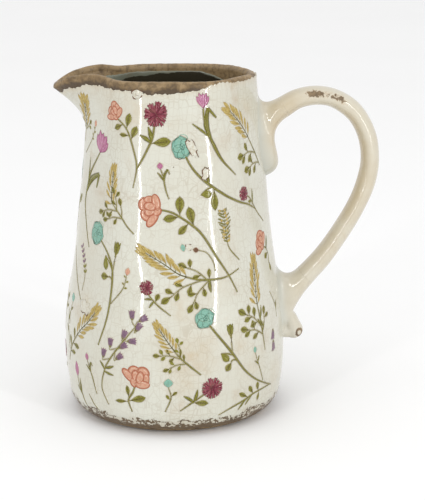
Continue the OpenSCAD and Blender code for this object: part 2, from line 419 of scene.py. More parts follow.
def bare_clay(name, rough):
    """Bare brown clay, mottled and slightly gritty."""
    n = Nodes(name)
    grit = n.bump(n.noise(0.9, 4, 0.7), 0.12, 0.6)
    uneven = n.remap(n.noise(3, 3), 0.3, 0.7, rough - 0.12, rough + 0.12)
    return n.surface(clay_colour(n), uneven, n.bump(n.noise(4.5, 3, 0.6), 0.4, 0.5, grit))


# Share of a paint's brightness that is left under the clear glaze.
SOAKED = 0.86


def paint(name, tone, deep):
    """Painted colour brushed between two tones, with the cracks of the glaze running through it."""
    n = Nodes(name)
    tone, deep = (tuple(SOAKED * c for c in colour) for colour in (tone, deep))
    colour = n.mix(n.remap(n.noise(1.4, 3, 0.6, 0.5), 0.35, 0.68), tone, deep)
    colour = n.mix(n.times(n.crackle(6.0, 0.3), 0.15), colour, CRACK)
    return n.surface(colour, 0.09, n.bump(n.noise(16, 2, 0.45), 0.25, 0.55), 0.35)


# ---------------------------------------------------------------- body, rim and foot

AROUND = 512
ANGLES = np.linspace(-180, 180, AROUND, endpoint=False)
# Heights above which the rings of the outer and inner wall follow the ragged edge of the glaze.
FOLLOW_OUTSIDE = 196
FOLLOW_INSIDE = 198


def glaze_edge(angle):
    """Height where the outer glaze ends under the rim, before its ragged detail."""
    gap = (angle + 180) % 360 - 180
    return 213.4 + 4.6 * ease((88 - np.abs(gap)) / 35) + 0.8 * np.sin(np.radians(gap * 5 + 40))


def inner_edge(angle):
    """Height where the inner glaze ends under the rim: lower beside the handle and in the spout."""
    side = np.abs((angle + 180) % 360 - 180)
    return 215.4 - 9.5 * ease((75 - side) / 55) - 5.0 * ease((side - 125) / 50)


def ragged(reach, seed):
    """Ragged offset round the rim, from value noise along the rim."""
    out = []
    for turn in np.radians(ANGLES):
        spot = Vector((math.cos(turn), math.sin(turn), seed))
        quick = noise.noise(spot * 34) * 0.7 + noise.noise(spot * 80) * 0.45
        out.append(reach * (noise.noise(spot * 9) + quick))
    return np.array(out)


# Places where the glaze is stained beige: angle, height, spread in mm and strength.
STAINS = [
    (-86, 85, 11, 0.55), (-82, 52, 14, 0.75), (-86, 37, 9, 0.6), (-55, 58, 10, 0.5), (-24, 30, 9, 0.5),
    (-117, 199, 12, 0.55), (-138, 203, 12, 0.4), (-33, 196, 9, 0.5), (-48, 42, 10, 0.4),
    (-70, 97, 12, 0.35), (-146, 78, 7, 0.5), (-150, 118, 12, 0.25), (60, 190, 14, 0.45), (95, 60, 16, 0.5),
    (128, 150, 14, 0.4), (100, 108, 12, 0.4), (40, 40, 12, 0.4), (150, 200, 12, 0.5),
]


def stains(heights):
    """How stained the glaze is at each angle and height."""
    total = np.zeros_like(heights)
    for angle, z, spread, strength in STAINS:
        gap = (ANGLES[None, :] - angle + 180) % 360 - 180
        far = np.hypot(np.radians(gap) * 64, heights - z) / spread
        total = np.maximum(total, strength * np.exp(-(far**2)))
    return total


def build_body(outside, inside):
    """Glazed wall: outer skin to its ragged edge, glaze thickness into the clay, and the inner wall."""
    top = glaze_edge(ANGLES) + ragged(1.15, 3.0)
    inner_top = inner_edge(ANGLES) + ragged(0.3, 9.0)
    rings, heights = [], []

    def add(r, z, height=None):
        """Adds a ring, with the height that decides its wear and stains where that isn't z."""
        rings.append(ring_point(ANGLES, r, z + 0 * ANGLES))
        heights.append((z if height is None else height) + 0 * ANGLES)

    for z in [FOOT_H + 26 * (i / 34) ** 1.3 for i in range(34)] + list(np.linspace(30, FOLLOW_OUTSIDE, 84)):
        add(outer_r(ANGLES, z), z)
    for i in range(1, 25):
        z = FOLLOW_OUTSIDE + (top - FOLLOW_OUTSIDE) * i / 24
        add(outer_r(ANGLES, z), z)
    outer_count = len(rings)
    for lift, sink in ((0.18, 0.14), (0.2, 0.45), (-0.6, 1.4)):
        add(outer_r(ANGLES, top) - sink, top + lift, top)
    inner_start = len(rings)
    for lower, back in ((-0.1, 0.5), (0.2, 0.15), (0.8, 0.0)):
        z = inner_top - lower
        add(outer_r(ANGLES, z) - thickness(z) + back, z)
    for i in range(1, 13):
        z = inner_top - 0.8 + (FOLLOW_INSIDE - inner_top + 0.8) * i / 12
        add(outer_r(ANGLES, z) - thickness(z), z)
    corner_z = FLOOR_TOP + INNER_CORNER
    for z in np.linspace(192, corner_z, 30):
        add(outer_r(ANGLES, z) - thickness(z), z)
    corner_r = outer_r(ANGLES, corner_z) - WALL - SLAB_R
    for tilt in range(75, -1, -15):
        z = FLOOR_TOP + INNER_CORNER * (1 - math.cos(math.radians(tilt)))
        add(SLAB_R + corner_r * math.sin(math.radians(tilt)), z, 100.0)
    add(SLAB_R, FOOT_H, 100.0)
    points, faces = skin(rings, closed_loop=True)
    slots = [0 if f // AROUND < outer_count + 2 else 1 for f in range(len(faces))]
    piece = add_mesh("glazed_wall", points, faces, [outside, inside], slots)
    heights = np.array(heights)
    inner = (np.arange(len(rings)) >= inner_start)[:, None]
    side = np.abs(np.abs(ANGLES) - 90)
    foot_edge = 9.0 + 2.8 * ease((side - 35) / 40) + ragged(1.4, 5.0)
    set_field(piece, "wear", np.where(inner, -20, np.maximum(foot_edge - heights, -12)))
    soil = np.maximum(stains(heights), 0.5 * hill(heights, top, 2.2))
    set_field(piece, "stain", np.where(inner, 0, soil))
    # Painted shadow inside the pot: the field "depth" darkens the inner wall below a line just under the
    # inner glaze edge, lower towards the spout.
    band = 3.6 * ease((np.abs(ANGLES) - 75) / 80)
    set_field(piece, "depth", np.where(inner, ease((inner_top - band - heights) / 1.4), 0))
    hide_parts("body_wall")


def build_rim(clay):
    """Bare rim, a touch thinner than the glazed wall, with the lip of the spout."""
    inset = 0.4
    middle = HEIGHT - LIP
    sides = np.linspace(SEAM - 1, middle, 14)
    rings = [(outer_r(ANGLES, z) - inset, z) for z in sides]
    for tilt in range(10, 180, 10):
        r = outer_r(ANGLES, middle) - LIP + (LIP - inset) * math.cos(math.radians(tilt))
        rings.append((r, middle + LIP * math.sin(math.radians(tilt))))
    rings += [(outer_r(ANGLES, z) - thickness(z) + inset, z) for z in sides[::-1]]
    turn = np.radians(ANGLES)
    spots = 14 * np.stack([np.cos(turn), np.sin(turn)], axis=-1)
    shaped, shade = [], []
    for i, (r, z) in enumerate(rings):
        # Field "shade": painted light over the top and inner side of the rim and on the front lip's inner
        # edge, and darker clay low on the outer side.
        outer_low = ease((217.5 - z) / 4) if i < len(sides) else 0
        inner_front = hill(ANGLES, -100, 40) * hill(i, 26, 3.5)
        shade.append(0.4 * inner_front - 1.3 * outer_low + 0.6 * ease((i - 15) / 6) - 0.15)
        bumps = np.array([noise.noise(Vector((*spot, z * 0.25))) for spot in spots])
        shaped.append(ring_point(ANGLES, r + 0.22 * bumps, z + 0.12 * bumps))
    points, faces = skin(shaped, closed_loop=True)
    piece = add_mesh("bare_rim", points, faces, [clay])
    set_field(piece, "shade", np.array(shade))
    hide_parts("rim_band")


# ---------------------------------------------------------------- handle

STRAP_W = 19.0
STRAP_T = 12.0
ROOT_W = 27.0
SCROLL_R = 5.8
# Middle line of the strap from the upper pad to the lower one, as (distance from the axis, height).
STRAP_PATH = [
    (71, 198.5), (80, 203.5), (92, 205.5), (104, 203), (116, 194.5), (124, 180.5), (126.6, 164), (124, 148),
    (117.5, 132), (108, 115.5), (97, 99.5), (86, 87),
]
SCROLL_END = np.array([79, 49.3])
SCROLL_DIR = np.array([0.5, -0.866])
TURN = round_turn(72)


def strap_middle(t):
    return spline(STRAP_PATH, t)


def strap_dir(t):
    d = strap_middle(min(1, t + 0.004)) - strap_middle(max(0, t - 0.004))
    return d / np.linalg.norm(d)


def oval(c, d, t, w):
    """Section of the strap round c, square to d, both in the XZ plane."""
    reach = np.cos(TURN) * t / 2
    return np.stack([c[0] - d[1] * reach, w / 2 * np.sin(TURN), c[1] + d[0] * reach], axis=-1)


def wall_spot(y, z):
    """Points of the wall near the handle, at side offset y and real height z."""
    g = z.copy()
    for _ in range(6):
        g = g + z - dipped(0, g)
    x = np.full_like(z, 60.0)
    for _ in range(6):
        angle = np.degrees(np.arctan2(y, x))
        x = np.sqrt(outer_r(angle, g) ** 2 - y**2)
    return np.stack([x, y, z], axis=-1)


def bezier(start, first, last, end, s):
    """Point at share s of the curve that leaves start towards first and reaches end from last."""
    return start * (1 - s) ** 3 + 3 * first * s * (1 - s) ** 2 + 3 * last * s**2 * (1 - s) + end * s**3


# Pads where the strap joins the wall: middle height and height of the patch on the wall, the strap's end
# and direction, and the upper and lower value of three reaches: off the wall, inward and along the strap.
UPPER_PAD = (180, 53, strap_middle(0), strap_dir(0), (1.5, 20), (6, 8), (9, 26))
LOWER_PAD = (69.6, 50.8, strap_middle(1), -strap_dir(1), (1.5, 3), (6, 8.4), (9, 20.8))
PAD_STEPS = 48
# The strap swells by 12% at its ends.
SWELL = 0.12
SWOLLEN_HALF = 0.5 + SWELL / 2


def pad_point(pad, turn, s):
    """Point of a pad at angle turn round it, from s = 0 on the wall to s = 1 at the strap."""
    z, h, end_c, end_d, *reaches = pad
    low = (1 - np.cos(turn)) / 2
    side, up = np.sin(turn), np.cos(turn)
    d = np.array([end_d[0], 0, end_d[1]])
    start = wall_spot(ROOT_W / 2 * side, z + h / 2 * up)
    end_x = end_c[0] - d[2] * STRAP_T * up * SWOLLEN_HALF
    end_z = end_c[1] + d[0] * STRAP_T * up * SWOLLEN_HALF
    end = np.stack([end_x, STRAP_W * side * SWOLLEN_HALF, end_z], axis=-1)
    off, inward, along = (upper + (lower - upper) * low for upper, lower in reaches)
    first = start + np.stack([off, -inward * side, -inward * up], axis=-1)
    s = np.asarray(s, float)[..., None] if np.ndim(s) else s
    return bezier(start, first, end - along[..., None] * d, end, s)


def pad_rings(pad):
    """Rings from just inside the wall to the strap."""
    rings = [pad_point(pad, TURN, s) for s in np.linspace(0, 1, PAD_STEPS)]
    buried = rings[0] - np.array([1.2, 0, 0])
    return [buried] + rings


def inside_out(faces):
    """Faces turned over, for rings that run the other way."""
    return [f[::-1] for f in faces]


def build_upper_pad(glaze):
    """Pad under the rim, with a painted blue-grey reflection where it meets the wall."""
    points, faces = skin(pad_rings(UPPER_PAD), caps="fan")
    piece = add_mesh("upper_pad", points, inside_out(faces), [glaze])
    # Painted blue-grey reflection, strongest where the pad meets the wall.
    near = np.clip(1 - np.linspace(0, 1, PAD_STEPS) * 2.2, 0, 1) ** 1.5
    set_field(piece, "joint_reflection", [1] * len(TURN) + list(np.repeat(near, len(TURN))) + [1, 0])
    # Beige tint and painted shade, deeper towards the strap and on the pad's underside.
    under = np.clip(-np.cos(TURN), 0, 1)
    along = ease(np.linspace(0, 1, PAD_STEPS + 1))[:, None]
    set_field(piece, "warmth_and_shade", list(np.ravel(0.55 + along * (0.4 + 0.25 * under))) + [0, 0.5])
    set_field(piece, "wear", np.full(len(points), -1.2))
    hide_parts("handle_upper_root")


def build_strap(glaze):
    """The strap, slightly uneven, tinted beige with painted shade that deepens inside its loop, and worn on
    top of it.
    """
    rings, wear, warmth_and_shade = [], [], []
    front = hill(TURN, math.radians(292), math.radians(30))
    inner = np.clip(-np.cos(TURN), 0, 1)
    for t in np.linspace(0, 1, 200):
        swell = 1 + SWELL * abs(2 * t - 1) ** 6
        away = ease(t / 0.06) * ease((1 - t) / 0.06)
        uneven = 1 + away * (0.012 * math.sin(23 * t) + 0.01 * math.sin(41 * t + 1))
        rings.append(oval(strap_middle(t), strap_dir(t), STRAP_T * swell * uneven, STRAP_W * swell / uneven))
        rub = 1.9 * hill(t, 0.17, 0.05) + 1.5 * hill(t, 0.27, 0.05)
        wear.append(np.minimum(1.9, rub) * front - 1.25)
        # Beige tint, strongest at the strap's start, and painted shade on the side facing the loop's gap and
        # along its far bend.
        loop_part = ease((t - 0.2) / 0.25) * ease((0.95 - t) / 0.3)
        warmth_and_shade.append(0.35 + 0.6 * hill(t, 0, 0.11) + 0.25 * inner + loop_part * (0.25 + 0.4 * inner))
    points, faces = skin(rings, caps="fan")
    piece = add_mesh("strap", points, inside_out(faces), [glaze])
    set_field(piece, "joint_reflection", np.zeros(len(points)))
    set_field(piece, "warmth_and_shade", list(np.ravel(warmth_and_shade)) + [0, 0])
    set_field(piece, "wear", list(np.ravel(wear)) + [-1.2, -1.2])
    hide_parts("handle_strap")


def scroll_rings():
    """The curled tail, from its patch on the lower pad to its round tip."""
    patch = pad_point(LOWER_PAD, math.pi - math.radians(50) * np.sin(TURN), 0.37 + 0.16 * np.cos(TURN))
    thick, wide = 2.1 * SCROLL_R, 2.3 * SCROLL_R
    end = oval(SCROLL_END, SCROLL_DIR, thick, wide)
    bulge = 1 - np.cos(TURN)
    first = patch + np.stack([2.1 + 0 * bulge, 0 * bulge, 0.3 - bulge], axis=-1)
    last = end - 6 * np.array([SCROLL_DIR[0], 0, SCROLL_DIR[1]])
    rings = [patch - np.array([1.0, 0, -0.5])]
    rings += [bezier(patch, first, last, end, s) for s in np.linspace(0, 1, 26)]
    for tilt in range(8, 90, 9):
        rise = SCROLL_R * 0.95 * math.sin(math.radians(tilt))
        small = math.cos(math.radians(tilt))
        rings.append(oval(SCROLL_END + SCROLL_DIR * rise, SCROLL_DIR, thick * small, wide * small))
    return rings


def glaze_fill():
    """Glaze that has run into the hollow between the wall, the lower pad and the tail."""
    rings = []
    for tilt in range(-80, 81, 16):
        small = math.cos(math.radians(tilt))
        z = 49.2 + 5.0 * math.sin(math.radians(tilt)) + 0 * TURN
        rings.append(np.stack([74.0 + 4.6 * small * np.cos(TURN), 6.4 * small * np.sin(TURN), z], axis=-1))
    return rings


def build_lower_end(glaze):
    """Lower pad and curled tail under one skin of glaze, softened where they meet."""
    inside_strap = oval(strap_middle(1) - 1.5 * strap_dir(1), -strap_dir(1), 1.09 * STRAP_T, 1.09 * STRAP_W)
    points, faces = [], []
    for rings, turn_over in ((pad_rings(LOWER_PAD) + [inside_strap], True), (scroll_rings(), True),
                             (glaze_fill(), False)):
        some_points, some_faces = skin(rings, caps="fan")
        first = len(points)
        points.extend(some_points)
        some_faces = inside_out(some_faces) if turn_over else some_faces
        faces.extend(tuple(first + v for v in f) for f in some_faces)
    rough = add_mesh("lower_end_rough", points, faces, [glaze])
    voxels = rough.modifiers.new("voxels", "REMESH")
    voxels.mode = "VOXEL"
    voxels.voxel_size = 0.0006
    shape = bmesh.new()
    shape.from_object(rough, bpy.context.evaluated_depsgraph_get())
    axes = dict(use_axis_x=True, use_axis_y=True, use_axis_z=True)
    for below, times in ((0.08, 2), (0.066, 9)):
        near_tail = [v for v in shape.verts if v.co.z < below]
        for _ in range(times):
            bmesh.ops.smooth_vert(shape, verts=near_tail, factor=0.5, **axes)
    places = np.array([v.co for v in shape.verts]) * 1000
    loops = [tuple(v.index for v in f.verts) for f in shape.faces]
    shape.free()
    bpy.data.objects.remove(rough)
    piece = add_mesh("lower_pad_and_tail", places, loops, [glaze])
    x, y, z = places.T
    off_wall = x - wall_spot(y, z)[:, 0]
    worn = hill(np.abs(np.hypot(x - 82, (z - 48.8) * 0.75) - 1.8), 0, 0.75) * ease((1 - y) / 3)
    # Painted blue-grey reflection on the pad near the wall.
    set_field(piece, "joint_reflection", 0.8 * ease((5 - off_wall) / 5) * ease((z - 52) / 6))
    # Beige tint and painted shade, deeper away from the wall.
    set_field(piece, "warmth_and_shade", 0.15 + 0.3 * ease(off_wall / 12))
    set_field(piece, "wear", 2.2 * worn - 1.25)
    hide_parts("handle_lower_root", "handle_tail_scroll")


# ---------------------------------------------------------------- painted flowers

# Strokes and patches start inside the wall, and their middle stands a little above their edge.
LAYER = 0.03
SUNK = -0.12
CROWN = 0.04
# A round flower's middle is this share of its radius past the end of its stem.
SEAT = 0.86


class Brush:
    """Collects thin closed strokes and patches that lie on the wall, sorted by paint.

    Their points are in mm right and up of a place on the wall, or of an origin that is moved from there.
    """

    def __init__(self):
        self.sheets = {}
        self.start(0.0, 0.0, 1)

    def start(self, angle, z, hand):
        """Goes to a place on the wall. Hand -1 mirrors what is painted there onto the far side."""
        self.middle = (angle * hand, z)
        self.hand = hand
        self.origin = np.zeros(2)

    def local(self, points):
        """(angle, height) points as mm right and up of the place."""
        p = np.asarray(points, float)
        right = np.radians(p[:, 0] - self.middle[0] * self.hand) * round_r(p[:, 1])
        return np.stack([right, p[:, 1] - self.middle[1]], axis=-1)

    def put(self, paint_name, rings, lifts, caps):
        """A closed shape from flat rings, lifted off the wall."""
        flat, faces = skin(np.concatenate([rings, lifts[..., None]], axis=-1), caps=caps)
        z = self.middle[1] + flat[:, 1]
        angle = self.middle[0] + self.hand * np.degrees(flat[:, 0] / round_r(z))
        points, loops = self.sheets.setdefault(paint_name, ([], []))
        first = sum(len(p) for p in points)
        points.append(wall(angle, z, flat[:, 2]))
        loops.extend(tuple(first + v for v in face[::self.hand]) for face in faces)

    def stroke(self, paint_name, points, widths, layer, haze=False, step=1.0):
        """A line through the points whose width follows the list of widths."""
        points = np.asarray(points, float) + self.origin
        length = float(np.sum(np.linalg.norm(np.diff(points, axis=0), axis=1)))
        t = np.linspace(0, 1, max(3, int(length / step) + 1))
        line = spline(points, t)
        ahead = np.gradient(line, axis=0)
        ahead /= np.maximum(1e-6, np.linalg.norm(ahead, axis=1, keepdims=True))
        side = np.stack([ahead[:, 1], -ahead[:, 0]], axis=-1)
        half = np.interp(t, np.linspace(0, 1, len(widths)), widths)[:, None] / 2
        if haze:
            self.ribbon("haze", line, side * (half + 0.42), 0)
        self.ribbon(paint_name, line, side * half, layer)

    def ribbon(self, paint_name, line, side, layer):
        rise = LAYER * (1 + layer)
        rings = np.stack([line - side, line, line + side, line], axis=1)
        lifts = np.tile([rise - LAYER, rise + CROWN, rise - LAYER, SUNK], (len(line), 1))
        self.put(paint_name, rings, lifts, "flat")

    def patch(self, paint_name, outline, layer, haze=False):
        """A filled shape inside an outline that goes round anticlockwise."""
        outline = np.asarray(outline, float) + self.origin
        middle = outline.mean(axis=0)
        away = outline - middle
        if haze:
            grow = 1 + 0.5 / np.maximum(0.8, np.linalg.norm(away, axis=1, keepdims=True))
            self.fill("haze", middle, away * grow, 0)
        self.fill(paint_name, middle, away, layer)

    def fill(self, paint_name, middle, away, layer):
        rise = LAYER * (1 + layer)
        rings = np.array([middle + away * share for share in (0.96, 1.0, 0.8, 0.4)])
        lifts = np.repeat([[SUNK], [rise - LAYER], [rise + 0.03], [rise + CROWN]], len(away), axis=1)
        self.put(paint_name, rings, lifts, "fan")


def turned(points, degrees):
    """Points turned clockwise about the origin."""
    x, y = np.asarray(points, float).T
    cos, sin = math.cos(math.radians(degrees)), math.sin(math.radians(degrees))
    return np.stack([x * cos + y * sin, y * cos - x * sin], axis=-1)


def heading(degrees):
    """Direction clockwise from straight up."""
    return np.array([math.sin(math.radians(degrees)), math.cos(math.radians(degrees))])


def ellipse(at, wide, tall, tilt=0.0, count=18, lumps=1.0):
    turn = round_turn(count)
    flat = np.stack([wide / 2 * np.cos(turn) * lumps, tall / 2 * np.sin(turn) * lumps], axis=-1)
    return np.asarray(at) + turned(flat, tilt)


def loop(outline):
    """An outline as a line that comes back to its start."""
    return np.concatenate([outline, outline[:1]])


def drop(at, tilt, length, width, belly=0.55, curl=0.0, count=9):
    """Outline of a leaf or petal from its stalk to its tip. belly is where it is widest."""
    t = np.linspace(0, 1, count)
    swell = np.sin(math.pi * t ** (math.log(0.5) / math.log(belly))) ** 0.85 * width / 2
    bend = curl * t**2
    right = np.stack([bend + swell, t * length], axis=-1)
    left = np.stack([bend - swell, t * length], axis=-1)[-2:0:-1]
    return np.asarray(at) + turned(np.concatenate([right, left]), tilt)


def bent_leaf(brush, at, tilt, length, width):
    """A blade whose tip is bent over."""
    go, across = heading(tilt), heading(tilt + 90)
    top = at + go * length * 0.8 + across * length * 0.1
    up = [at, at + go * length * 0.4 - across * width * 0.3, top]
    over = [top - go * 0.2, top + across * length * 0.17 - go * length * 0.3]
    brush.stroke("leaf", up, [width * 0.35, width, width * 0.5], 2, haze=True)
    brush.stroke("leaf", over, [width * 0.5, width * 0.42, width * 0.25], 3, haze=True)
    brush.stroke("leaf_line", up, [0.1, 0.35, 0.15], 3.5)


def blade_leaf(brush, at, tilt, length, width):
    go, across = heading(tilt), heading(tilt + 90)
    line = [at, at + go * length * 0.5 + across * width * 0.15, at + go * length]
    brush.stroke("leaf", line, [width * 0.5, width, 0.3], 2, haze=True)


def fold_leaf(brush, at, tilt, length, width):
    """A leaf folded back down from the top of its stalk."""
    go, back = heading(tilt), heading(tilt - 150)
    tip = at + go * length
    stalk = [at, at + go * length * 0.5 + heading(tilt + 90) * length * 0.08, tip]
    shine = [tip + back * length * 0.3, tip + back * length * 0.62]
    brush.stroke("stem", stalk, [0.6, 0.9, 1.1], 2, haze=True)
    brush.patch("leaf", drop(tip - back * 0.6, tilt - 150, length * 0.85, width, 0.62), 2.5, haze=True)
    brush.stroke("leaf_pale", shine, [0.2, width * 0.22, 0.2], 4)


def hanging_leaf(brush, at, tilt, length, width):
    """A leaf on a curl of stalk."""
    go, across = heading(tilt), heading(tilt + 90)
    knee = at + go * length * 0.42 - across * length * 0.02
    curl = [at, at + go * length * 0.26 + across * length * 0.07, knee]
    brush.stroke("stem", curl, [0.6, 0.8, 0.8], 2, haze=True)
    oval_leaf(brush, knee - go * 0.4, tilt - 62, length * 0.62, width)


def oval_leaf(brush, at, tilt, length, width, stalk_share=0.1, widest=0.6, brushed=()):
    """A leaf, with a midrib, side ribs and a pale inner edge if it is large enough to show them."""
    go = heading(tilt)
    stalk = length * stalk_share
    brush.stroke("stem", [at, at + go * stalk * 0.6, at + go * stalk * 1.2], [0.8, 0.7, 0.7], 1, haze=True)
    base = at + go * stalk
    size = length - stalk
    brush.patch("leaf", drop(base, tilt, size, width, widest), 2, haze=True)
    for lean in brushed:
        way = heading(tilt + lean) * size
        widths = [width * 0.25, width * 0.3, width * 0.12]
        brush.stroke("leaf", [base + way * 0.5, base + way * 1.02], widths, 3)
    if size <= 4.2:
        return
    brush.stroke("leaf_line", [base + go * size * 0.06, base + go * size * 0.86], [0.55, 0.42, 0.2], 4)
    for t in (0.25, 0.42, 0.58, 0.72):
        rib = base + go * size * t
        for side in (-38, 38):
            brush.stroke("leaf_line", [rib, rib + heading(tilt + side) * width * 0.3], [0.3, 0.12], 4)
    edge = drop(base + go * size * 0.1, tilt, size * 0.8, width * 0.7, widest)
    brush.stroke("leaf_pale", edge[1:8], [0.12, 0.38, 0.15], 4)
    if width > 3.6:
        brush.stroke("leaf_pale", edge[:8:-1][:5], [0.12, 0.3, 0.12], 4)


def paddle_leaf(brush, at, tilt, length, width):
    """A leaf on a long stalk, widest near its brushed end."""
    oval_leaf(brush, at, tilt, length, width, 0.34, 0.78, (-9, -3, 3, 9))


LEAVES = {
    "oval": oval_leaf, "blade": blade_leaf, "bent": bent_leaf, "fold": fold_leaf, "hang": hanging_leaf,
    "paddle": paddle_leaf,
}


def twig(brush, at, tilt, length, count, size):
    """A thin branch with leaves on both sides and one at its tip."""
    go, across = heading(tilt), heading(tilt + 90)
    line = np.array([at, at + go * length * 0.5 + across * length * 0.07, at + go * length * 0.84])
    brush.stroke("stem", line, [0.8, 0.65, 0.5], 1, haze=True)
    oval_leaf(brush, line[-1], tilt - 8, size * 1.2, size * 0.62)
    for i in range(count - 1):
        t = 0.3 + 0.55 * i / max(1, count - 2)
        side = 52 if i % 2 else -52
        oval_leaf(brush, spline(line, t), tilt + side, size * (1.05 - 0.1 * i / count), size * 0.5)


def pompon(brush, stalk, rng, size, tilt):
    """Blunt ragged petals round a dark star, with pale gaps between them."""
    brush.origin = stalk.at(0) + heading(stalk.tilt(0)) * size * SEAT
    brush.patch("magenta", ellipse((0, 0), size * 1.5, size * 1.5), 1, haze=True)
    for count, start, end, wide, layer in ((17, 0.3, 1.0, 0.28, 2), (13, 0.12, 0.68, 0.22, 3)):
        for i in range(count):
            tone = "magenta_deep" if layer == 3 and i % 2 else "magenta"
            bearing = 360 * i / count + rng.uniform(-5, 5) + tilt
            reach = size * end * rng.uniform(0.88, 1.04)
            w = size * wide * rng.uniform(0.85, 1.1)
            line = [heading(bearing) * size * start, heading(bearing) * reach]
            brush.stroke(tone, line, [w * 0.35, w * 0.8, w], layer, haze=layer == 2)
            for lean in (-5, 6) if layer == 2 else ():
                notch = heading(bearing + lean) * reach
                brush.stroke(tone, [notch * 0.86, notch * 1.07], [w * 0.3, w * 0.18], layer)
    for i in range(14):
        go = heading(360 * (i + 0.5) / 14 + tilt + rng.uniform(-8, 8)) * size
        line = [go * rng.uniform(0.45, 0.6), go * rng.uniform(0.75, 0.92)]
        brush.stroke("magenta_pale", line, [0.1, size * 0.042, size * 0.02], 3.4)
    for i in range(9):
        go = heading(40 * i + rng.uniform(-8, 8))
        line = [go * 0.1, go * size * rng.uniform(0.3, 0.42)]
        brush.stroke("magenta_deep", line, [size * 0.09, size * 0.04], 4)


# Petals of a rose whose stem comes from below: middle, width, height and lean, as shares of half its size.
ROSE_PETALS = [
    (-0.14, 0.5, 0.85, 0.85, -20), (0.55, 0.46, 0.9, 1, 30), (0.8, -0.05, 0.42, 0.95, 5),
    (-0.52, 0.03, 0.52, 1.45, -46), (-0.05, -0.5, 0.55, 0.8, -24), (0.02, 0.12, 0.55, 0.9, -10),
    (0.54, -0.6, 1.05, 0.66, -8), (0.34, 0, 0.52, 1.05, 20),
]


def rose(brush, stalk, rng, size, tilt):
    """Overlapping rounded petals. size is (width, height)."""
    brush.origin = stalk.at(0) + heading(tilt) * size[1] / 2 * SEAT
    half = np.array(size) / 2
    thin = min(size) * 0.034 + 0.14
    for i, (x, y, wide, tall, lean) in enumerate(ROSE_PETALS):
        middle = np.array([x, y]) * half
        shape = ellipse(middle, wide * half[0], tall * half[1], lean + rng.uniform(-6, 6), 20)
        shape, inner = turned(shape, tilt), turned(middle + (shape - middle) * 0.6, tilt)
        over = i * 0.5
        brush.patch("coral", shape, 1 + over, haze=i < 5)
        fold = (0.55 * shape + 0.45 * inner)[7:14]
        for tone, line, widths, layer in (
                ("coral_line", loop(shape), [thin, thin * 1.9, thin * 1.1, thin * 1.7, thin], 1.6),
                ("coral_pale", inner[1:9], [0.15, thin * 1.5, 0.15], 2),
                ("coral_pale", inner[11:18], [0.12, thin * 1.2, 0.12], 2),
                ("coral_line", fold, [0.12, thin, 0.12], 2.1)):
            brush.stroke(tone, line, widths, layer + over, step=0.7)


# Rings drawn on a teal flower: middle, width and height as shares of half its size.
TEAL_RINGS = [
    (-0.34, 0.42, 0.8, 0.86), (0.36, 0.36, 0.92, 0.74), (-0.3, -0.08, 1.06, 0.66), (0.42, -0.2, 0.8, 0.9),
    (-0.06, -0.54, 0.66, 0.96), (0.1, 0.1, 0.46, 0.5),
]


def round_flower(brush, stalk, rng, size, tilt):
    """Teal flower: one round of colour with overlapping rings drawn on it in a fine dark line."""
    brush.origin = stalk.at(0) + heading(stalk.tilt(0)) * size * SEAT
    half = np.array([0.9, 1.04]) * size
    around = round_turn(30)
    lumps = 1 + 0.045 * np.sin(5 * around + tilt) + 0.03 * np.sin(8 * around)
    brush.patch("teal", ellipse((0, 0), 2 * half[0], 1.9 * half[1], tilt, 30, lumps), 1, haze=True)
    stray = turned(ellipse(np.array([0.22, 0.86]) * half, 0.9 * half[0], 0.52 * half[1], 8, 16), tilt)
    brush.stroke("teal_pale", loop(stray), [0.5, 0.3, 0.45], 1.2, step=0.7)
    for i, (x, y, wide, tall) in enumerate(TEAL_RINGS):
        middle = np.array([x, y]) * half
        shape = ellipse(middle, wide * half[0], tall * half[1], rng.uniform(-20, 20), 18)
        glow = turned(middle + (shape - middle) * 0.6, tilt)
        brush.stroke("teal_line", loop(turned(shape, tilt)), [0.26, 0.36, 0.28], 2 + i * 0.2, step=0.7)
        brush.stroke("teal_pale", glow[2:9], [0.15, 0.55, 0.15], 1.6 + i * 0.2, step=0.7)


def tulip(brush, stalk, rng, size, tilt):
    """Narrow petals that stand on the top of the stem. size is (width, height)."""
    brush.origin = stalk.at(0)
    wide, tall = size
    spread = math.degrees(math.atan2(wide * 0.5, tall))
    for lean, share, layer in ((-1, 0.86, 2), (1, 0.84, 2), (-0.5, 1, 3), (0.5, 0.98, 3), (0, 0.94, 4)):
        way = tilt + lean * spread
        petal = drop((0, 0), way, tall * share, wide * 0.235, 0.62, 0, 10)
        line = [heading(way) * tall * 0.14, heading(way) * tall * share * 0.9]
        brush.patch("orchid", petal, layer, haze=True)
        brush.stroke("orchid_pale", line, [0.15, wide * 0.07, 0.2], layer + 0.7)
        brush.stroke("orchid_line", petal[:9], [0.2, 0.4, 0.15], layer + 0.9, step=0.7)


def bud(brush, stalk, rng, paint_name, size, tilt):
    """A closed bud. size is (length, width)."""
    brush.origin = stalk.at(0)
    go = heading(tilt) * size[0]
    deep = paint_name + "_line"
    brush.patch(paint_name, drop((0, 0), tilt, *size, 0.5), 3, haze=True)
    brush.stroke(deep if deep in PAINTS else paint_name, [go * 0.15, go * 0.75], [0.15, 0.4, 0.15], 4)


# Outline of a bell as shares of half its mouth and of its length.
BELL = [
    (-0.3, 0.02), (0.3, 0.02), (0.72, 0.3), (0.86, 0.65), (1.12, 0.96), (0.72, 0.88), (0.48, 1.05),
    (0.14, 0.9), (-0.16, 1.06), (-0.5, 0.88), (-0.95, 1.0), (-0.84, 0.62), (-0.7, 0.3),
]


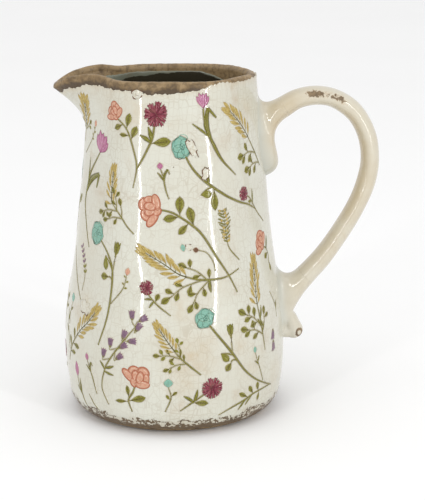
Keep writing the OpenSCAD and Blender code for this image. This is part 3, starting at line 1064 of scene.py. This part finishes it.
def one_bell(brush, at, length, tilt):
    """A small bell flower with a ragged mouth in a green cup."""
    brush.origin = at
    brush.patch("lavender", turned(np.array(BELL) * (length * 0.36, length), tilt), 3, haze=True)
    for lean in (-12, 4, 14):
        way = heading(tilt + lean) * length
        brush.stroke("lavender_line", [way * 0.25, way * 0.85], [0.15, 0.4, 0.15], 4)
    for lean in (-28, 26):
        brush.stroke("leaf", [(0, 0), heading(tilt + lean) * length * 0.32], [0.8, 0.3], 4)


def bell(brush, stalk, rng, length, tilt):
    """One bell at the end of its stem."""
    one_bell(brush, stalk.at(0), length, tilt)


# Bells that hang at the sides of one stem: the angle and height of each, and its tilt.
BELLS = [
    ((-112.4, 75.5), -6), ((-108.6, 75.2), 58), ((-110.2, 68.8), 32), ((-117.4, 63), 18),
    ((-114.6, 62), 84), ((-124.6, 56.5), 2), ((-119, 57), 58), ((-129, 49), 8), ((-121, 49.5), 52),
]


def bells(brush, stalk, rng):
    """Bells on short stalks, each joined to the nearest point of the stem."""
    for place, tilt in BELLS:
        at = brush.local([place])[0]
        go = heading(tilt)
        near = min((stalk.at(i / 20) for i in range(16)), key=lambda p: np.hypot(*(p - at - go * 3)))
        brush.origin = np.zeros(2)
        brush.stroke("stem", [at + go * 0.6, at - go * 1.6, near], [0.5, 0.5, 0.6], 1, haze=True)
        one_bell(brush, at, 6.0, tilt)


class Stalk:
    """A stem's curve, read by the share of its length from the flower down."""

    def __init__(self, points):
        self.fine = spline(points, np.linspace(0, 1, 80))
        run = np.concatenate([[0], np.cumsum(np.linalg.norm(np.diff(self.fine, axis=0), axis=1))])
        self.share = run / run[-1]
        self.length = run[-1]

    def at(self, t):
        return np.array([np.interp(t, self.share, self.fine[:, k]) for k in (0, 1)])

    def tilt(self, t):
        """Direction towards the flower."""
        d = self.at(max(0, t - 0.02)) - self.at(min(1, t + 0.02))
        return math.degrees(math.atan2(d[0], d[1]))

    def part(self, start, end, count=8):
        return np.array([self.at(start + (end - start) * i / (count - 1)) for i in range(count)])


def wheat_ear(brush, stalk, rng, reach, grain):
    """Blunt grains on short stalks along the top part of the stem."""
    brush.stroke("stem_dark", stalk.part(0.12 * reach, reach), [0.4, 0.6, 0.75], 3)
    pairs = max(5, int(stalk.length * reach / grain * 1.85))
    for i in range(pairs, -1, -1):
        t = reach * (0.16 + 0.82 * i / pairs)
        at, along = stalk.at(t), stalk.tilt(t)
        for side in (-1, 1):
            lean = along + side * (15 + 24 * i / pairs + rng.uniform(-6, 6))
            size = grain * (0.92 + 0.24 * math.sin(math.pi * i / pairs)) * rng.uniform(0.88, 1.12)
            go = heading(lean)
            start = at + heading(along + side * 90) * (0.5 + 0.35 * i / pairs) + go * 0.35
            pale = start + heading(lean + side * 90) * grain * 0.07
            brush.stroke("stem_dark", [at, start + go * 0.6], [0.35, 0.3], 2)
            brush.patch("wheat", drop(start, lean, size, grain * 0.27, 0.56, -side * 0.35), 2, haze=True)
            line = [start + go * size * 0.12, start + go * size * 0.6]
            brush.stroke("wheat_line", line, [0.12, 0.3, 0.12], 4)
            shine = [pale + go * size * 0.3, pale + go * size * 0.85]
            brush.stroke("wheat_pale", shine, [0.15, 0.35, 0.15], 4)
    tip = drop(stalk.at(reach * 0.18), stalk.tilt(0.02), grain * 1.05, grain * 0.3)
    brush.patch("wheat", tip, 3, haze=True)


def needle_sprig(brush, stalk, rng, reach):
    """Short green needles with small yellow flowers between them."""
    brush.stroke("stem", stalk.part(0, reach, 8), [0.3, 0.5], 1.5)
    rows = int(stalk.length * reach / 2.2)
    for i in range(rows):
        t = reach * (0.04 + 0.96 * i / rows)
        at, along = stalk.at(t), stalk.tilt(t)
        long = 2.8 + 2.4 * math.sin(math.pi * min(1, (i + 1) / rows))
        for side in (-1, 1):
            go = heading(along + side * rng.uniform(48, 72))
            brush.stroke("leaf", [at, at + go * long], [0.4, 0.85, 0.3], 2, haze=True)
        for _ in range(2):
            spot = at + heading(along + rng.choice((-1, 1)) * 70) * rng.uniform(1.0, 2.4)
            brush.patch("wheat", ellipse(spot, 1.4, 1.8, 0, 10), 4)


def spike(brush, stalk, rng, reach):
    """Small lavender buds up a thin stalk, over green ones."""
    brush.stroke("stem", stalk.part(0, reach, 8), [0.3, 0.5], 1.5)
    rows = int(stalk.length * reach / 3.2)
    for i in range(rows):
        t = reach * (0.02 + 0.98 * i / rows)
        tone = "leaf" if i >= rows - 2 else "lavender"
        for lean in (-44, 44):
            brush.patch(tone, drop(stalk.at(t), stalk.tilt(t) + lean, 3.0, 1.7, 0.5, 0, 7), 3, haze=True)


FLOWERS = {
    "ear": wheat_ear, "bud": bud, "tulip": tulip, "rose": rose, "pompon": pompon, "round": round_flower,
    "needles": needle_sprig, "spike": spike, "bell": bell, "bells": bells,
}

# Paints: tone and deeper tone of each.
PAINTS = {
    "haze": ((0.63, 0.585, 0.47), (0.58, 0.52, 0.39)),
    "stem": ((0.255, 0.235, 0.045), (0.185, 0.16, 0.025)),
    "stem_dark": ((0.15, 0.135, 0.035), (0.09, 0.075, 0.02)),
    "leaf": ((0.235, 0.225, 0.028), (0.17, 0.155, 0.016)),
    "leaf_line": ((0.115, 0.09, 0.018), (0.085, 0.06, 0.012)),
    "leaf_pale": ((0.42, 0.39, 0.15), (0.32, 0.30, 0.08)),
    "wheat": ((0.53, 0.40, 0.13), (0.39, 0.275, 0.065)),
    "wheat_line": ((0.27, 0.185, 0.035), (0.21, 0.14, 0.025)),
    "wheat_pale": ((0.66, 0.53, 0.22), (0.58, 0.45, 0.15)),
    "coral": ((0.66, 0.37, 0.255), (0.57, 0.26, 0.165)),
    "coral_line": ((0.50, 0.18, 0.10), (0.43, 0.14, 0.075)),
    "coral_pale": ((0.78, 0.56, 0.43), (0.74, 0.50, 0.36)),
    "teal": ((0.255, 0.485, 0.385), (0.19, 0.405, 0.315)),
    "teal_line": ((0.075, 0.165, 0.12), (0.06, 0.125, 0.09)),
    "teal_pale": ((0.34, 0.54, 0.42), (0.27, 0.47, 0.36)),
    "magenta": ((0.29, 0.06, 0.085), (0.21, 0.035, 0.055)),
    "magenta_deep": ((0.17, 0.02, 0.04), (0.13, 0.015, 0.03)),
    "magenta_pale": ((0.55, 0.30, 0.31), (0.45, 0.2, 0.23)),
    "orchid": ((0.50, 0.19, 0.32), (0.40, 0.13, 0.24)),
    "orchid_line": ((0.30, 0.075, 0.17), (0.24, 0.055, 0.13)),
    "orchid_pale": ((0.70, 0.43, 0.53), (0.60, 0.33, 0.44)),
    "lavender": ((0.25, 0.145, 0.215), (0.165, 0.09, 0.145)),
    "lavender_line": ((0.12, 0.065, 0.11), (0.09, 0.045, 0.08)),
    "brown": ((0.20, 0.10, 0.05), (0.13, 0.06, 0.03)),
    "chip": ((0.72, 0.71, 0.62), (0.60, 0.55, 0.43)),
}

# The plants on the side that faces the camera, from the spout round to the handle. Each is its flower
# (kind, then what that flower's function takes), its stem from the flower down as (angle, height), the
# stem's widths, its leaves (share of the stem, turn, length, width, kind) and its twigs (share, turn,
# length, number of leaves, leaf length).
PLANTS = [
    (("ear", 0.6, 7.4), [(-163.5, 204.5), (-166, 199), (-169, 192), (-171.2, 184), (-172, 178)],
     (0.5, 0.7), (), ((0.7, -50, 8, 3, 4), (0.7, 50, 8, 3, 4))),
    (("bud", "coral", (4.4, 2.8), 15), [(-155, 188.5), (-157.7, 182), (-162, 177), (-167.8, 171.5)],
     (0.5, 0.5), ((0.08, -55, 2.2, 1, "oval"), (0.16, 55, 2.4, 1.1, "oval"), (0.28, -50, 2.2, 1, "oval"),
      (0.36, 55, 2.4, 1.1, "oval")), ()),
    (("tulip", (22, 13.5), 14), [(-146, 174.5), (-152, 167), (-157.8, 158.6), (-162, 141.7),
      (-157.3, 128.6), (-149.8, 114)],
     (0.9, 2, 1.4, 0.7), ((0.38, -14, 17, 1.6, "blade"), (0.46, 30, 27, 4.2, "bent")), ()),
    (("rose", (13, 11), -52), [(-128.6, 197.5), (-125, 195.5), (-119.5, 190), (-114.4, 177),
      (-113, 168.5), (-115, 156.7)],
     (0.8, 1, 0.9, 0.5), ((0.12, -62, 7.5, 3.6, "oval"), (0.2, 50, 9.5, 4.4, "oval"),
      (0.3, -62, 7.5, 2.6, "oval"), (0.36, 44, 9, 4.4, "oval")), ()),
    (("pompon", 7.4, 0), [(-102.4, 194.6), (-103, 190), (-104, 186), (-109, 175.5), (-113, 168.5)],
     (1.1, 1.4, 1.2, 0.8), ((0.38, 60, 13, 5.6, "oval"), (0.32, -38, 8.5, 2.5, "blade"),
      (0.36, -82, 8, 2.4, "blade")), ()),
    (("ear", 0.5, 6.6), [(-129.2, 168.5), (-130.2, 158), (-130, 147.5), (-127.5, 144), (-122.4, 138.7),
      (-118, 133), (-113.5, 128.5)], (0.5, 0.9, 0.6), (),
     ((0.62, -50, 14, 4, 5.4), (0.74, -58, 13, 3, 5), (0.6, 34, 10, 3, 5), (0.72, 34, 7, 1, 5))),
    (("bud", "orchid", (4.2, 3.6), -10), [(-98.2, 168.6), (-96.7, 164.6), (-94.9, 156), (-93, 150.5)],
     (0.5, 0.9, 0.5), ((0.42, 20, 10, 1.6, "bent"), (0.38, -28, 6.5, 1.1, "blade")), ()),
    (("round", 6.7, 0), [(-82.6, 176.5), (-79, 170), (-72, 161.8), (-58.3, 151.5), (-46.4, 145.3),
      (-38, 142.4), (-29, 137.6)],
     (1.1, 1.7, 1.3, 0.6), ((0.36, -70, 8.5, 4.6, "fold"), (0.38, -128, 14, 4.8, "oval"),
      (0.32, 40, 11, 2.4, "blade")), ()),
    (("tulip", (10.6, 9.8), 0), [(-70.6, 204.4), (-70.3, 199), (-69, 193), (-65.4, 184.6), (-59, 173),
      (-48.4, 162.5)],
     (0.9, 1.4, 2.4, 1.4, 0.6), ((0.4, 14, 24, 3.4, "bent"), (0.36, -28, 14, 1.3, "blade")), ()),
    (("ear", 0.56, 8.6), [(-54, 203), (-49, 200.5), (-43.5, 196), (-36, 189.5), (-30.5, 183.5),
      (-23.6, 174), (-17, 163.5)], (0.5, 0.9, 0.6), (), ((0.8, -52, 17, 4, 7.2), (0.95, -60, 15, 4, 7))),
    (("rose", (19, 14), -102), [(-98, 144), (-92, 142.6), (-86.5, 139.6), (-75, 130), (-65.6, 113.4),
      (-59, 101.3), (-54.6, 90.6)],
     (1, 1.4, 1.2, 0.7), ((0.17, 56, 12.5, 5.6, "oval"), (0.31, 36, 12.5, 5.4, "oval"),
      (0.17, -42, 10.5, 4.8, "oval"), (0.26, -82, 9.5, 4.2, "oval")), ()),
    (("pompon", 4.6, 0), [(-38.4, 147.8), (-35.2, 145.5), (-29.2, 137), (-21.2, 128.3)],
     (0.7, 0.9, 0.5), ((0.3, 42, 9, 1.7, "blade"), (0.22, -55, 4, 1.4, "blade"),
      (0.2, -95, 3.6, 1.2, "blade")), ()),
    (("needles", 0.62), [(-60.5, 142.5), (-59.5, 135), (-59, 127), (-57.6, 118.5), (-51, 110)],
     (0.5, 0.8, 0.5), (), ()),
    (("rose", (17, 11), -60), [(-25.6, 113), (-22, 110.5), (-20, 105.5), (-20.8, 101)],
     (0.7, 0.8, 0.6), ((0.3, 62, 8.5, 2.4, "blade"), (0.5, -88, 6.4, 3.8, "oval"),
      (0.9, 150, 7, 3, "oval")), ()),
    (("round", 7.4, 20), [(-137.4, 121), (-134, 118), (-130.6, 114), (-126.7, 106), (-126.2, 91.6),
      (-128, 73), (-132.6, 56)],
     (1, 1.6, 1.3, 0.9), ((0.33, 14, 20, 4.8, "paddle"), (0.31, -30, 11, 4.4, "fold"),
      (0.42, -30, 12, 4.6, "hang")), ()),
    (("spike", 0.72), [(-158, 112.5), (-154, 106), (-151, 99), (-150.4, 93), (-151.4, 86)],
     (0.4, 0.5), (), ()),
    (("bare",), [(-171, 110), (-164, 99), (-158, 89), (-151.5, 80)], (0.5, 1, 0.6), (), ()),
    (("bud", "coral", (4.8, 3.2), 10), [(-116.8, 102.6), (-117.3, 100), (-119.2, 93.3), (-126, 83.5)],
     (0.4, 0.6, 0.5), ((0.08, -60, 2.2, 1.1, "oval"), (0.2, 62, 2.4, 1.2, "oval"),
      (0.3, -55, 2.4, 1.1, "oval"), (0.37, 62, 2.6, 1.3, "oval")), ()),
    (("ear", 0.5, 8), [(-110.8, 119.8), (-102.6, 115), (-95.2, 110.3), (-88, 104.8), (-81, 102),
      (-74.3, 100.6), (-62, 101), (-52, 105)],
     (0.7, 1.4, 1, 0.6), ((0.7, 84, 7, 2.6, "oval"), (0.7, -102, 8, 2.2, "blade")),
     ((0.64, -30, 25, 5, 6.6), (0.7, -56, 19, 4, 6.2), (0.68, 30, 17, 3, 6))),
    (("pompon", 4.4, 0), [(-104, 92.5), (-103, 90.5), (-98.7, 85.3), (-92, 79.3)],
     (0.7, 0.9, 0.5), ((0.35, 68, 6, 3.2, "oval"), (0.22, -48, 5, 1.3, "blade"),
      (0.3, -100, 5, 1.3, "blade")), ()),
    (("bud", "brown", (3.8, 3.2), -80), [(-76, 118.9), (-71.4, 117), (-68, 111), (-67.2, 105.5)],
     (0.4, 0.55, 0.4), (), ()),
    (("bud", "teal", (4.6, 3), 165), [(-85.6, 123), (-85.2, 122), (-85, 121)], (0.2, 0.2), (), ()),
    (("ear", 0.5, 7.6), [(-38.8, 110), (-40.2, 95), (-41, 82.4), (-40, 74), (-39, 66), (-36.8, 49)],
     (0.6, 1.2, 0.9, 0.5), ((0.66, 22, 9, 1.6, "blade"), (0.78, 36, 6, 1.3, "blade"),
      (0.74, -22, 7, 1.8, "oval")),
     ((0.74, -42, 19, 5, 7), (0.82, -58, 16, 4, 6.6), (0.8, 26, 12, 3, 5.6))),
    (("bell", 6.8, 188), [(-28, 60), (-28, 59)], (0.3, 0.3), (), ()),
    (("bell", 6.8, 174), [(-28.4, 52.5), (-28.4, 51.5)], (0.3, 0.3), (), ()),
    (("bud", "teal", (4.4, 2.9), -6), [(-44.8, 49.4), (-43.6, 45.5), (-41, 38), (-37.8, 29)],
     (0.4, 0.6, 0.5), ((0.3, 38, 4, 1.1, "blade"), (0.4, -26, 5, 1.1, "blade")), ()),
    (("ear", 0.56, 8), [(-134.3, 79), (-141.5, 68.5), (-148.5, 61), (-157.7, 48), (-162, 37)],
     (0.6, 1, 0.7), ((0.72, 60, 9, 3.4, "oval"), (0.8, -50, 8, 3.4, "oval"), (0.86, 60, 8, 3, "oval"),
      (0.66, -46, 8, 3, "oval")), ()),
    (("bare",), [(-167, 70), (-165.5, 62), (-163, 53), (-160.5, 45)],
     (0.4, 0.9, 0.6), ((0.3, 30, 6, 1.4, "blade"), (0.6, -30, 7, 1.5, "blade")), ()),
    (("bells",), [(-110.5, 71.5), (-117, 61.5), (-124, 50), (-127.8, 42), (-130.5, 29), (-126.6, 18)],
     (0.5, 1, 0.9, 0.6), ((0.58, 50, 7, 1.8, "blade"), (0.62, 82, 7.5, 1.6, "blade"),
      (0.6, -58, 6.5, 1.6, "blade")), ()),
    (("bud", "orchid", (4.8, 3.4), -12), [(-141, 43.6), (-139.5, 40), (-137, 33), (-134.6, 23)],
     (0.5, 1.1, 0.6), ((0.36, 18, 8.5, 1.6, "bent"), (0.34, -26, 6, 1.1, "blade")), ()),
    (("bud", "orchid", (10, 5), -8), [(-151.2, 29.5), (-150.4, 26), (-148, 19.5), (-144.4, 11.5)],
     (0.6, 1.3, 0.7), ((0.55, 20, 10, 1.6, "blade"), (0.6, -18, 7.5, 1.1, "blade")), ()),
    (("bare",), [(-141, 21), (-138, 16), (-134, 11.5)], (0.4, 0.8, 0.5), (), ()),
    (("ear", 0.48, 6.2), [(-99.6, 73.6), (-94.4, 64.5), (-90.5, 58), (-86.5, 52), (-77, 41.5)],
     (0.6, 1.1, 1.2, 0.8), ((0.6, 44, 6, 1.8, "oval"), (0.68, 40, 5, 1.8, "oval")),
     ((0.62, -36, 15, 5, 4.6), (0.72, -58, 12.5, 4, 4.2), (0.58, 36, 9.5, 3, 3.8))),
    (("round", 6.4, 40), [(-72, 72.4), (-70, 69), (-61.3, 55.3), (-52, 40), (-42.2, 30.5), (-28.7, 23)],
     (1.2, 1.7, 1.2, 0.7), ((0.33, 32, 18.5, 4.8, "paddle"), (0.36, -40, 9.5, 4.6, "fold"),
      (0.42, -48, 11.5, 4.6, "hang")), ()),
    (("bare",), [(-67, 13), (-60, 16.5), (-52, 19.5), (-44, 22.6), (-30, 23.8)],
     (0.5, 1.3, 1.1, 0.8), ((0.5, 50, 9, 3, "oval"), (0.6, 66, 7.5, 3.2, "oval"),
      (0.7, 84, 6.6, 3.2, "oval"), (0.46, -24, 9, 1.4, "blade"), (0.58, -30, 8.5, 1.4, "blade"),
      (0.72, -74, 6.6, 2.4, "oval")), ()),
    (("rose", (18, 14.5), 4), [(-110.6, 33.5), (-111.6, 29.5), (-114.3, 23.6), (-112.6, 16)],
     (0.9, 1.2, 0.9, 0.7), ((0.6, 74, 12, 4.6, "oval"), (0.62, -92, 9.5, 2.6, "oval"),
      (0.5, -32, 8.5, 2.8, "oval")), ()),
    (("bud", "teal", (5.6, 5.6), 0), [(-93.4, 34), (-92.1, 27), (-95.2, 17.4)],
     (0.4, 0.8, 0.5), ((0.36, 52, 5, 2, "oval"), (0.52, -52, 4.6, 1.9, "oval"),
      (0.46, -80, 3, 1.3, "oval")), ()),
    (("pompon", 6.9, 0), [(-75, 28.6), (-81.5, 23.3), (-87.6, 18)],
     (0.9, 1.2, 0.6), ((0.42, -42, 8, 2, "blade"), (0.46, -112, 7.5, 2, "blade"),
      (0.5, 42, 10.5, 4, "oval")), ()),
    (("bare",), [(-26, 84), (-22.5, 77), (-21, 72), (-21.4, 66)],
     (0.4, 0.7, 0.5), ((0.75, 12, 6, 1.6, "blade"),), ()),
]

# Plants below the spout, which stand between the two painted sides.
SPOUT_PLANTS = [
    (("bud", "teal", (6, 6), -10), [(-161.6, 75.5), (-163, 72), (-164, 67), (-163, 61)],
     (0.4, 0.7, 0.5), ((0.4, 40, 5, 1.4, "blade"),), ()),
    (("round", 6.8, 10), [(-181, 152), (-180, 146), (-177, 136), (-178, 122), (-183, 112)],
     (1, 1.5, 1.2, 0.7), ((0.4, 50, 12, 4.8, "oval"), (0.5, -50, 12, 4.8, "oval")), ()),
    (("ear", 0.5, 7.6), [(-186, 92), (-184, 82), (-180, 72), (-177, 62), (-178, 52)], (0.5, 0.9, 0.6), (),
     ((0.66, -44, 14, 4, 5), (0.72, 44, 14, 4, 5))),
    (("pompon", 5.6, 0), [(-176, 36), (-178, 30), (-181, 18)],
     (0.8, 1.1, 0.6), ((0.5, 50, 9, 3.6, "oval"), (0.5, -52, 8.5, 3.4, "oval")), ()),
    (("bud", "orchid", (6, 4.6), 6), [(-190, 42), (-189, 36), (-191, 26)],
     (0.5, 0.9, 0.6), ((0.5, 30, 8, 1.5, "blade"),), ()),
]


def paint_plants(brush, plants, hand, seed):
    """Paints a list of plants: hand 1 is the camera's side, -1 the far side, where each is moved a little."""
    rng = random.Random(seed)
    for (flower, *about), stem, widths, leaves, twigs in plants:
        if hand < 0:
            slide, climb = rng.uniform(-3, 3), rng.uniform(-2.5, 2.5)
            stem = [(angle + slide, z + climb * ease((z - 14) / 20) * ease((212 - z) / 12))
                    for angle, z in stem]
        brush.start(*stem[0], hand)
        stalk = Stalk(brush.local(stem))
        start = about[0] if flower in ("ear", "needles") else 0.0
        brush.stroke("stem", stalk.part(start * 0.96, 1, 12), [w * 0.86 for w in widths], 1.5, haze=True)
        for share, turn, length, width, kind in leaves:
            LEAVES[kind](brush, stalk.at(share), stalk.tilt(share) + turn, length, width)
        for share, turn, *size in twigs:
            twig(brush, stalk.at(share), stalk.tilt(share) + turn, *size)
        if flower in FLOWERS:
            FLOWERS[flower](brush, stalk, rng, *about)


# Places where a flake of glaze has gone: angle, height, width, length, tilt, and the brown share of its edge.
CHIPS = [
    (-78.6, 181.5, 5.6, 15, -24, 0.35), (-70.5, 165.5, 5, 10, 14, 0.75), (-146, 76.7, 15, 9, 10, 0.4),
    (-81.6, 121, 4.6, 5.5, -20, 0.1), (76, 150, 5, 12, 20, 0.5), (118, 84, 9, 7, -15, 0.4),
    (48, 96, 4, 6, 0, 0.6),
]


def paint_chips(brush):
    """Scars of flakes: paler ground with a ragged, partly brown edge."""
    rng = random.Random(12)
    for angle, z, wide, tall, tilt, worn in CHIPS:
        brush.start(angle, z, 1)
        reach = np.array([rng.uniform(0.62, 1.12) for _ in range(18)])
        outline = ellipse((0, 0), wide, tall, tilt, 18, reach)
        brush.patch("chip", outline, 7)
        for i in range(len(outline)):
            near = outline[i:i + 3]
            if rng.random() < worn and len(near) > 1:
                near = near * rng.uniform(0.9, 1.06)
                brush.stroke("brown", near, [0.15, rng.uniform(0.3, 0.8), 0.15], 10, step=0.6)


def rim_bead(brush):
    """Drop of white glaze that has run together under the front of the rim, with a broken brown outline."""
    brush.start(-114.4, 212.6, 1)
    around = round_turn(26)
    lumps = 1 + 0.09 * np.sin(3 * around + 0.6) + 0.05 * np.sin(5 * around)
    for size, layer in ((1.0, 8), (0.72, 12), (0.4, 15)):
        brush.patch("chip", ellipse((0, 0.3), 6.8 * size, 5.4 * size, 0, 26, lumps), layer)
    outline = ellipse((0, 0.3), 6.8, 5.4, 0, 26, lumps)
    for first, last in ((8, 14), (15, 20), (22, 26), (2, 5)):
        brush.stroke("brown", outline[first:last] * 1.04, [0.3, 0.85, 0.3], 9, step=0.6)
    brush.stroke("brown", [(-1.2, 0.9), (-0.3, -0.4), (1.2, -0.6)], [0.2, 0.6, 0.2], 15.5, step=0.6)


# Painted pieces: name, and the paints it holds.
PAINTED_PIECES = {
    "paint_haze": ("haze",),
    "painted_stems": ("stem", "stem_dark"),
    "painted_leaves": ("leaf", "leaf_line", "leaf_pale"),
    "painted_wheat_ears": ("wheat", "wheat_line", "wheat_pale"),
    "painted_coral_roses": ("coral", "coral_line", "coral_pale"),
    "painted_teal_flowers": ("teal", "teal_line", "teal_pale"),
    "painted_magenta_flowers": ("magenta", "magenta_deep", "magenta_pale"),
    "painted_tulips": ("orchid", "orchid_line", "orchid_pale"),
    "painted_lavender": ("lavender", "lavender_line"),
    "glaze_chips": ("chip", "brown"),
}


def build_flowers():
    brush = Brush()
    paint_plants(brush, PLANTS + SPOUT_PLANTS, 1, 4)
    paint_plants(brush, PLANTS, -1, 9)
    paint_chips(brush)
    rim_bead(brush)
    for piece_name, paints in PAINTED_PIECES.items():
        points, faces, slots = [], [], []
        for slot, paint_name in enumerate(paints):
            some_points, some_faces = brush.sheets[paint_name]
            first = sum(len(p) for p in points)
            points.extend(some_points)
            faces.extend(tuple(v + first for v in face) for face in some_faces)
            slots.extend([slot] * len(some_faces))
        materials = [paint(paint_name, *PAINTS[paint_name]) for paint_name in paints]
        piece = add_mesh(piece_name, np.concatenate(points), faces, materials, slots)


# ---------------------------------------------------------------- camera, lights and floor


def place_thing(name, data, place, target):
    """A camera or lamp that looks from its place at the target."""
    thing = bpy.data.objects.new(name, data)
    bpy.context.scene.collection.objects.link(thing)
    thing.location = Vector(place)
    thing.rotation_euler = (Vector(target) - Vector(place)).to_track_quat("-Z", "Y").to_euler()
    return thing


def build_camera():
    lens = bpy.data.cameras.new("camera")
    lens.lens = 113.6
    lens.clip_end = 50
    down, side = math.radians(14.03), math.radians(1.43)
    place = Vector((0, -1.0, 0.3539))
    look = Vector((math.sin(side) * math.cos(down), math.cos(side) * math.cos(down), -math.sin(down)))
    bpy.context.scene.camera = place_thing("camera", lens, place, place + look)


def softbox(name, place, target, width, height, power):
    lamp = bpy.data.lights.new(name, "AREA")
    lamp.shape = "RECTANGLE"
    lamp.size = width
    lamp.size_y = height
    lamp.energy = power
    place_thing(name, lamp, place, target)


def strip(name, bearing, far, low, high, width, power):
    """Tall narrow lamp at a bearing round the pitcher, whose reflection is a long streak on the glaze."""
    turn = math.radians(bearing)
    middle = (low + high) / 2
    place = (far * math.cos(turn), far * math.sin(turn), middle)
    softbox(name, place, (0, 0, middle), width, high - low, power)


def build_studio():
    world = bpy.data.worlds.new("studio")
    world.use_nodes = True
    background = world.node_tree.nodes["Background"].inputs
    background["Color"].default_value = (1, 1, 1, 1)
    background["Strength"].default_value = 0.94
    bpy.context.scene.world = world
    strip("streak_left", -122, 1.9, 0.02, 1.3, 0.07, 6)
    strip("streak_right", -50, 1.9, 0.02, 1.3, 0.09, 8)
    softbox("front_light", (0.9, -2.2, 1.0), (0, 0, 0.1), 1.6, 1.4, 2)
    softbox("top_light", (-0.3, -0.5, 2.2), (0, 0, 0.1), 1.6, 1.6, 4)
    bpy.context.scene.view_settings.view_transform = "Standard"
    floor_mesh = bpy.data.meshes.new("floor")
    floor_mesh.from_pydata([(-6, -4, 0), (6, -4, 0), (6, 8, 0), (-6, 8, 0)], [], [(0, 1, 2, 3)])
    floor = bpy.data.objects.new("floor", floor_mesh)
    bpy.context.scene.collection.objects.link(floor)
    n = Nodes("floor")
    pale = n.mix(n.noise(400, 2), (0.92, 0.92, 0.92), (0.95, 0.95, 0.95))
    floor_mesh.materials.append(n.surface(pale, 0.9))


# ---------------------------------------------------------------- put together


def main():
    build_camera()
    build_studio()
    cream = handle_glaze()
    build_body(body_glaze(), inner_glaze())
    build_rim(bare_clay("rim_clay", 0.5))
    build_upper_pad(cream)
    build_strap(cream)
    build_lower_end(cream)
    build_flowers()
    for name, material in (("foot_ring", bare_clay("foot_clay", 0.65)), ("base_slab", floor_glaze())):
        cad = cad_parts[name]
        cad.data.materials.clear()
        cad.data.materials.append(material)


main()
